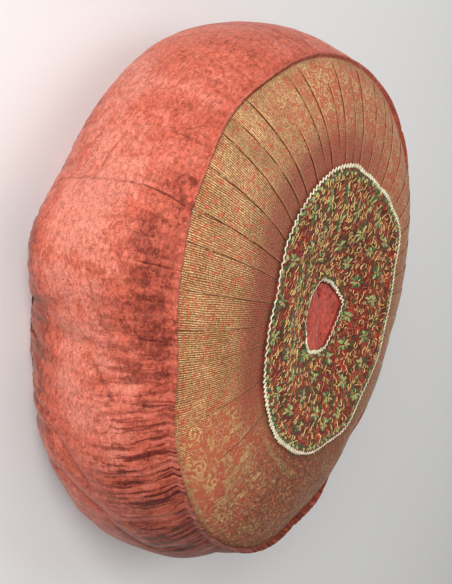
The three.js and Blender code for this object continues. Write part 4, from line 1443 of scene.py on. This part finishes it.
leaf, taken, given = group(
    "leaf", [("Place", "vector"), ("Centre", "vector"), ("Lean", "value"), ("Length", "value"),
             ("Width", "value"), ("Bend", "value")], [("Inside", "value")])
moved = vectors(leaf, "SUBTRACT", taken["Place"], taken["Centre"])
leaned = add(leaf, "ShaderNodeVectorRotate", {"Vector": moved, "Angle": taken["Lean"]},
             rotation_type="Z_AXIS")
split = parts(leaf, leaned.outputs[0])
along = maths(leaf, "DIVIDE", split[0], taken["Length"])
squared = product(leaf, along, along)
bent = maths(leaf, "SUBTRACT", split[1], product(leaf, squared, taken["Bend"]))
across_leaf = maths(leaf, "ABSOLUTE", maths(leaf, "DIVIDE", bent, taken["Width"]))
inside_leaf = maths(leaf, "SUBTRACT", rest(leaf, squared), across_leaf)
leaf.links.new(fade(leaf, inside_leaf, -0.08, 0.16), given["Inside"])

scroll, taken, given = group(
    "scroll", [("Place", "vector"), ("Centre", "vector"), ("Size", "value"), ("Hand", "value")],
    [("Inside", "value")])
moved = vectors(scroll, "SUBTRACT", taken["Place"], taken["Centre"])
split = parts(scroll, moved)
far = vectors(scroll, "DISTANCE", moved, (0.0, 0.0, 0.0))
share_out = maths(scroll, "DIVIDE", far, taken["Size"])
way = maths(scroll, "ARCTAN2", split[1], split[0])
wind = maths(scroll, "MULTIPLY_ADD", product(scroll, way, taken["Hand"]), 1.0,
             product(scroll, share_out, -SCROLL_WOUND))
arm = fade(scroll, maths(scroll, "COSINE", wind), 0.15, 0.5)
arm = product(scroll, arm, rest(scroll, fade(scroll, share_out, 0.9, 1.0)))
scroll.links.new(arm, given["Inside"])

# %% Rows of the figure
REPEAT_ALONG = 0.046
REPEAT_ACROSS = 0.04
RIB_PITCH = 0.00145
CROSS_PITCH = 0.0012
RAGGED = 0.0018
FIGURE_WANDER = 0.002
LEAVES = [
    # centre along, centre across, lean, half length, half width, bend, in millimetres and degrees
    (-15, 11, 35, 3.8, 1.6, 1.5), (-5, 14, -20, 3.4, 1.3, 1.0), (5, 15, 25, 3.6, 1.5, -1.5),
    (15, 12, -35, 3.8, 1.5, 1.5), (19, 1, 80, 3.4, 1.3, 1.0), (-20, 0, 95, 3.4, 1.4, -1.0),
    (-11, -13, -60, 4.0, 1.5, 1.5), (0, -15, 5, 3.2, 1.5, 0.8), (11, -12, 55, 3.8, 1.5, -1.2),
    (20, -13, 20, 2.8, 1.4, 0.5), (1, 5, 60, 2.4, 1.2, 0.0), (-18, -17, 0, 2.6, 1.2, 0.5),
]
SCROLLS = [(-10, -3, 6.4, 1.0), (10, 4, 6.0, -1.0)]
GOLD_BARS = [
    # two ends as (degrees, share of the way to the seam), and half the width in millimetres
    {"start": (324, 0.09), "end": (336, 0.13), "wide": 2.6},
    {"start": (336, 0.13), "end": (359, 0.25), "wide": 3.6},
    {"start": (319, 0.31), "end": (319, 0.48), "wide": 3.4},
    {"start": (333, 0.31), "end": (331, 0.48), "wide": 2.6},
    {"start": (332, 0.56), "end": (331, 0.65), "wide": 2.4},
    {"start": (309, 0.34), "end": (308, 0.5), "wide": 2.4},
]


def on_strip(angle, share):
    """Place on the flat strip, in metres, of a direction and a share of the way to the seam."""
    row = int(np.abs(share_rows - share).argmin())
    station = int(np.abs(turn(angle, ring_angle[:, row])).argmin())
    return ring_u[station, row] * MM, from_seam[row] * MM, 0

# %% Figure group
figure, taken, given = group(
    "brocade figure", [("Place", "vector"), ("Rib", "value"), ("Dense", "value")],
    [("Red", "value"), ("Bright", "value")])
step_in = add(figure, "ShaderNodeTexWhiteNoise", {"W": taken["Rib"]}, noise_dimensions="1D")
ragged = product(figure, maths(figure, "SUBTRACT", step_in.outputs["Value"], 0.5), RAGGED)
split = parts(figure, shaken(figure, taken["Place"], 170.0, 1.0, FIGURE_WANDER))
place_across = maths(figure, "ADD", split[1], ragged)
line_number = maths(figure, "FLOOR", maths(figure, "DIVIDE", place_across, REPEAT_ACROSS))
half_drop = product(figure, line_number, REPEAT_ALONG / 2)
along = maths(figure, "PINGPONG", maths(figure, "ADD", split[0], half_drop), REPEAT_ALONG)
across_tile = maths(figure, "SUBTRACT", place_across,
                    product(figure, line_number, REPEAT_ACROSS))
tile = add(figure, "ShaderNodeCombineXYZ", {
    0: maths(figure, "SUBTRACT", along, REPEAT_ALONG / 2),
    1: maths(figure, "SUBTRACT", across_tile, REPEAT_ACROSS / 2)}).outputs[0]
red = 0.0
for at_x, at_y, lean, long, wide, bend in LEAVES:
    inside = use(figure, leaf, {
        "Place": tile, "Centre": (at_x * MM, at_y * MM, 0), "Lean": math.radians(lean),
        "Length": long * MM, "Width": wide * MM, "Bend": bend * MM})["Inside"]
    red = maths(figure, "MAXIMUM", red, inside)
bright = 0.0
for at_x, at_y, size, hand_way in SCROLLS:
    inside = use(figure, scroll, {
        "Place": tile, "Centre": (at_x * MM, at_y * MM, 0), "Size": size * MM, "Hand": hand_way})["Inside"]
    bright = maths(figure, "MAXIMUM", bright, inside)
bright = product(figure, bright, fade(figure, taken["Dense"], 0.1, 0.5, 0.25, 1.0))
ragged_place = add(figure, "ShaderNodeCombineXYZ", {0: split[0], 1: place_across}).outputs[0]
bars = 0.0
for row in GOLD_BARS:
    inside = use(figure, crease, {
        "Place": ragged_place, "Start": on_strip(*row["start"]), "End": on_strip(*row["end"]),
        "Width": row["wide"] * 2 * MM})["Inside"]
    bars = maths(figure, "MAXIMUM", bars, inside)
edge_of_bar = product(figure, fade(figure, bars, 0.1, 0.2), fade(figure, bars, 0.5, 0.4))
bars = fade(figure, bars, 0.42, 0.52)
tangle = noise(figure, tile, 105, 0.9, 0.5, 1.3)
vein = maths(figure, "ABSOLUTE", maths(figure, "SUBTRACT", tangle, 0.5))
vein = maths(figure, "MINIMUM", fade(figure, vein, 0.034, 0.048), fade(figure, tangle, 0.66, 0.64))
laid = product(figure, rest(figure, vein), taken["Dense"])
bright = maths(figure, "MAXIMUM", bright, product(figure, laid, 0.7))
thin = fade(figure, noise(figure, ragged_place, 26, 2, 0.5, 0.5), 0.36, 0.46, 0.3, 1.0)
vein = product(figure, product(figure, vein, thin), taken["Dense"])
patches = fade(figure, noise(figure, ragged_place, 240, 2, 0.5, 1.0), 0.585, 0.62)
red = product(figure, red, fade(figure, taken["Dense"], 0.0, 0.6, 0.55, 1.0))
red = maths(figure, "MAXIMUM", maths(figure, "MAXIMUM", red, vein), patches)
red = product(figure, red, fade(figure, bright, 0.9, 0.72))
bright = maths(figure, "MAXIMUM", bright, bars)
red = maths(figure, "MAXIMUM", product(figure, red, rest(figure, bars)),
            edge_of_bar, clamp=True)
figure.links.new(red, given["Red"])
figure.links.new(bright, given["Bright"])

# %% Brocade: ribs, floats and figure
brocade, tree, shader = material("gold_brocade", 0.5, 0.15, 0.4, (1, 0.8, 0.6, 1), 0.35)
strip_place = add(tree, "ShaderNodeUVMap", uv_map="strip").outputs["UV"]
waver = noise(tree, stretched(tree, strip_place, (1, 0.4, 1)), 70, 3, 0.6)
waver = product(tree, maths(tree, "SUBTRACT", waver, 0.5), 0.003)
split = parts(tree, strip_place)
rib_at = maths(tree, "ADD", split[0], waver)
rib = ribs(tree, rib_at, RIB_PITCH)
number = maths(tree, "FLOOR", maths(tree, "SUBTRACT", maths(tree, "DIVIDE", rib_at, RIB_PITCH), 0.25))
cross_at = maths(tree, "MULTIPLY_ADD", number, CROSS_PITCH * 0.37, split[1])
cross = ribs(tree, cross_at, CROSS_PITCH)
drawn = use(tree, figure, {"Place": strip_place, "Rib": number, "Dense": attribute(tree, "figured")})
float_place = add(tree, "ShaderNodeCombineXYZ", {
    0: product(tree, number, 3.7), 1: product(tree, split[1], 230.0)})
floats = fade(tree, noise(tree, float_place.outputs[0], 1.0, 1, 0.5), 0.34, 0.56, 0.45, 1.0)
thread = product(tree, fade(tree, rib, 0.2, 0.8), fade(tree, cross, 0.0, 0.5, 0.72, 1.0))
thread = product(tree, thread, floats)

# %% Brocade: gold and red, redder towards the embroidered ring
age = noise(tree, strip_place, 35, 3, 0.6)
inner_band = fade(tree, maths(tree, "MULTIPLY_ADD", age, 0.02, split[1]), 0.056, 0.082)
inner_band = product(tree, inner_band, attribute(tree, "redder"))
gold = blend(tree, fade(tree, age, 0.3, 0.7), colour(222, 178, 110), colour(244, 214, 150))
gold = blend(tree, drawn["Bright"], gold, colour(246, 216, 152))
gold = blend(tree, product(tree, inner_band, 0.85), gold, colour(188, 108, 72))
# the ground seen between the gold ribs, darkened as painted shade in the grooves
ground_and_groove_shade = blend(tree, fade(tree, age, 0.35, 0.65), colour(118, 64, 36), colour(160, 88, 54))
ground_and_groove_shade = blend(tree, drawn["Bright"], ground_and_groove_shade, colour(196, 140, 84))
ground_and_groove_shade = blend(tree, product(tree, inner_band, 0.85), ground_and_groove_shade, colour(132, 46, 36))
ribbed = blend(tree, thread, ground_and_groove_shade, gold)
ground = blend(tree, fade(tree, rib, 0.2, 0.8), colour(176, 66, 44), colour(214, 100, 72))
ground = blend(tree, product(tree, inner_band, 0.7), ground, colour(172, 52, 44))
lost = product(tree, drawn["Red"], fade(tree, inner_band, 0.0, 1.0, 1.0, 0.7))
plainer = fade(tree, attribute(tree, "figured"), 0.2, 0.8, 0.4, 0.85)
lost = product(tree, lost, maths(tree, "MAXIMUM", plainer, fade(tree, rib, 0.1, 0.6, 0.4, 0.9)))
base = blend(tree, lost, ribbed, ground)
base = times(tree, base, fade(tree, noise(tree, strip_place, 800, 3, 0.75), 0.41, 0.59, 0.55, 1.42))

# %% Brocade: painted shade low in the ring, painted shade and a painted highlight at the folds
# painted shade low in the ring: the colour is made darker, browner and mottled there
painted_low_shade = fade(tree, noise(tree, strip_place, 170, 3, 0.75), 0.42, 0.6, 1.0, 0.5)
painted_low_shade = product(tree, attribute(tree, "painted_low_shade"), painted_low_shade)
base = blend(tree, painted_low_shade, base, times(tree, base, (0.46, 0.28, 0.07, 1)))
mottle = fade(tree, noise(tree, strip_place, 380, 3, 0.8), 0.42, 0.58, 0.3, 1.5)
base = blend(tree, attribute(tree, "painted_low_shade"), base, times(tree, base, mottle))
# painted shade along the pleat edges and a painted highlight on the lips
shade = attribute(tree, "fold_shade")
dark = product(tree, maths(tree, "MAXIMUM", shade, 0.0, clamp=True),
             fade(tree, noise(tree, strip_place, 60, 2, 0.5), 0.36, 0.6, 0.35, 0.95))
lip_highlight = maths(tree, "MAXIMUM", product(tree, shade, -1.0), 0.0, clamp=True)
base = blend(tree, dark, base, times(tree, base, (0.2, 0.1, 0.07, 1)))
base = blend(tree, lip_highlight, base, colour(228, 184, 126))
lift = product(tree, thread, rest(tree, product(tree, lost, 0.75)))
rough = maths(tree, "MULTIPLY_ADD", lost, 0.2, 0.42)
finish_with(tree, shader, base, lift, 0.0006, 0.9, rough)
pleated.data.materials.append(brocade)

# %% [markdown]
# ## Threads and ground of the embroidery
# The ground is a dark red cloth with a plain weave; its darkest, olive-brown patches are painted
# shade between the threads. The thread is cotton: dull, a little hairy, and dyed unevenly, so every
# curl has a tint of its own kept on its points.

# %% Spun thread group
spun, taken, given = group(
    "spun thread",
    [("Place", "vector"), ("First", "colour"), ("Second", "colour"), ("Third", "colour"),
     ("Tint", "value")],
    [("Colour", "colour"), ("Height", "value")])
mixed = blend(spun, fade(spun, taken["Tint"], 0.2, 0.8), taken["First"], taken["Second"])
mixed = blend(spun, fade(spun, taken["Tint"], 1.1, 1.4), mixed, taken["Third"])
hairs = noise(spun, taken["Place"], 1700, 2, 0.6)
dull = fade(spun, noise(spun, taken["Place"], 140, 2, 0.5), 0.3, 0.7, 0.8, 1.1)
grain = product(spun, fade(spun, hairs, 0.25, 0.75, 0.72, 1.12), dull)
spun.links.new(times(spun, mixed, grain), given["Colour"])
spun.links.new(hairs, given["Height"])


def thread_material(name, first, second, third, tint_from, roughness=0.65, sheen=0.25):
    """A thread in up to three tones, chosen by the tint on its points or by noise."""
    made, tree, shader = material(name, roughness, sheen, 0.4, (1, 0.95, 0.85, 1), 0.3)
    place_in = add(tree, "ShaderNodeTexCoord").outputs["Object"]
    tint = attribute(tree, "tint") if tint_from == "points" else noise(tree, place_in, 70, 2, 0.5)
    out = use(tree, spun, {"Place": place_in, "First": first, "Second": second, "Third": third,
                           "Tint": tint})
    finish_with(tree, shader, out["Colour"], out["Height"], 0.0003, 0.8)
    return made


threads.data.materials.append(thread_material(
    "cream_thread", colour(194, 104, 68), colour(238, 200, 130), colour(98, 104, 54), "points",
    0.65, 0.1))
green.data.materials.append(thread_material(
    "green_satin", colour(66, 92, 44), colour(172, 182, 110), colour(172, 182, 110), "points", 0.5, 0.2))
cream = colour(250, 244, 214)
cream_braid = thread_material("cream_cord", colour(228, 220, 176), cream, cream, "noise")
outer_braid.data.materials.append(cream_braid)
inner_braid.data.materials.append(cream_braid)

# %% Ground of the embroidery
ground_cloth, tree, shader = material("dark_red_ground", 0.75, 0.2, 0.4, (1, 0.7, 0.6, 1), 0.25)
place_in = add(tree, "ShaderNodeTexCoord").outputs["Object"]
cloudy = noise(tree, place_in, 130, 3, 0.6, 0.5)
weave = noise(tree, place_in, 900, 1, 0.5)
# the olive-brown tone is painted shade between the threads, laid in noise patches; the two reds are the
# cloth's own colour
base = blend(tree, fade(tree, cloudy, 0.4, 0.5), colour(72, 46, 28), colour(122, 38, 28))
base = blend(tree, fade(tree, cloudy, 0.53, 0.64), base, colour(164, 54, 40))
base = times(tree, base, fade(tree, weave, 0.3, 0.7, 0.7, 1.1))
finish_with(tree, shader, base, weave, 0.0004, 0.8)
embroidered.data.materials.append(ground_cloth)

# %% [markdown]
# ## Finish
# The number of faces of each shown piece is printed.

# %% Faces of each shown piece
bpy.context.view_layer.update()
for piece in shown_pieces():
    print(piece.name, len(piece.data.polygons), "faces")
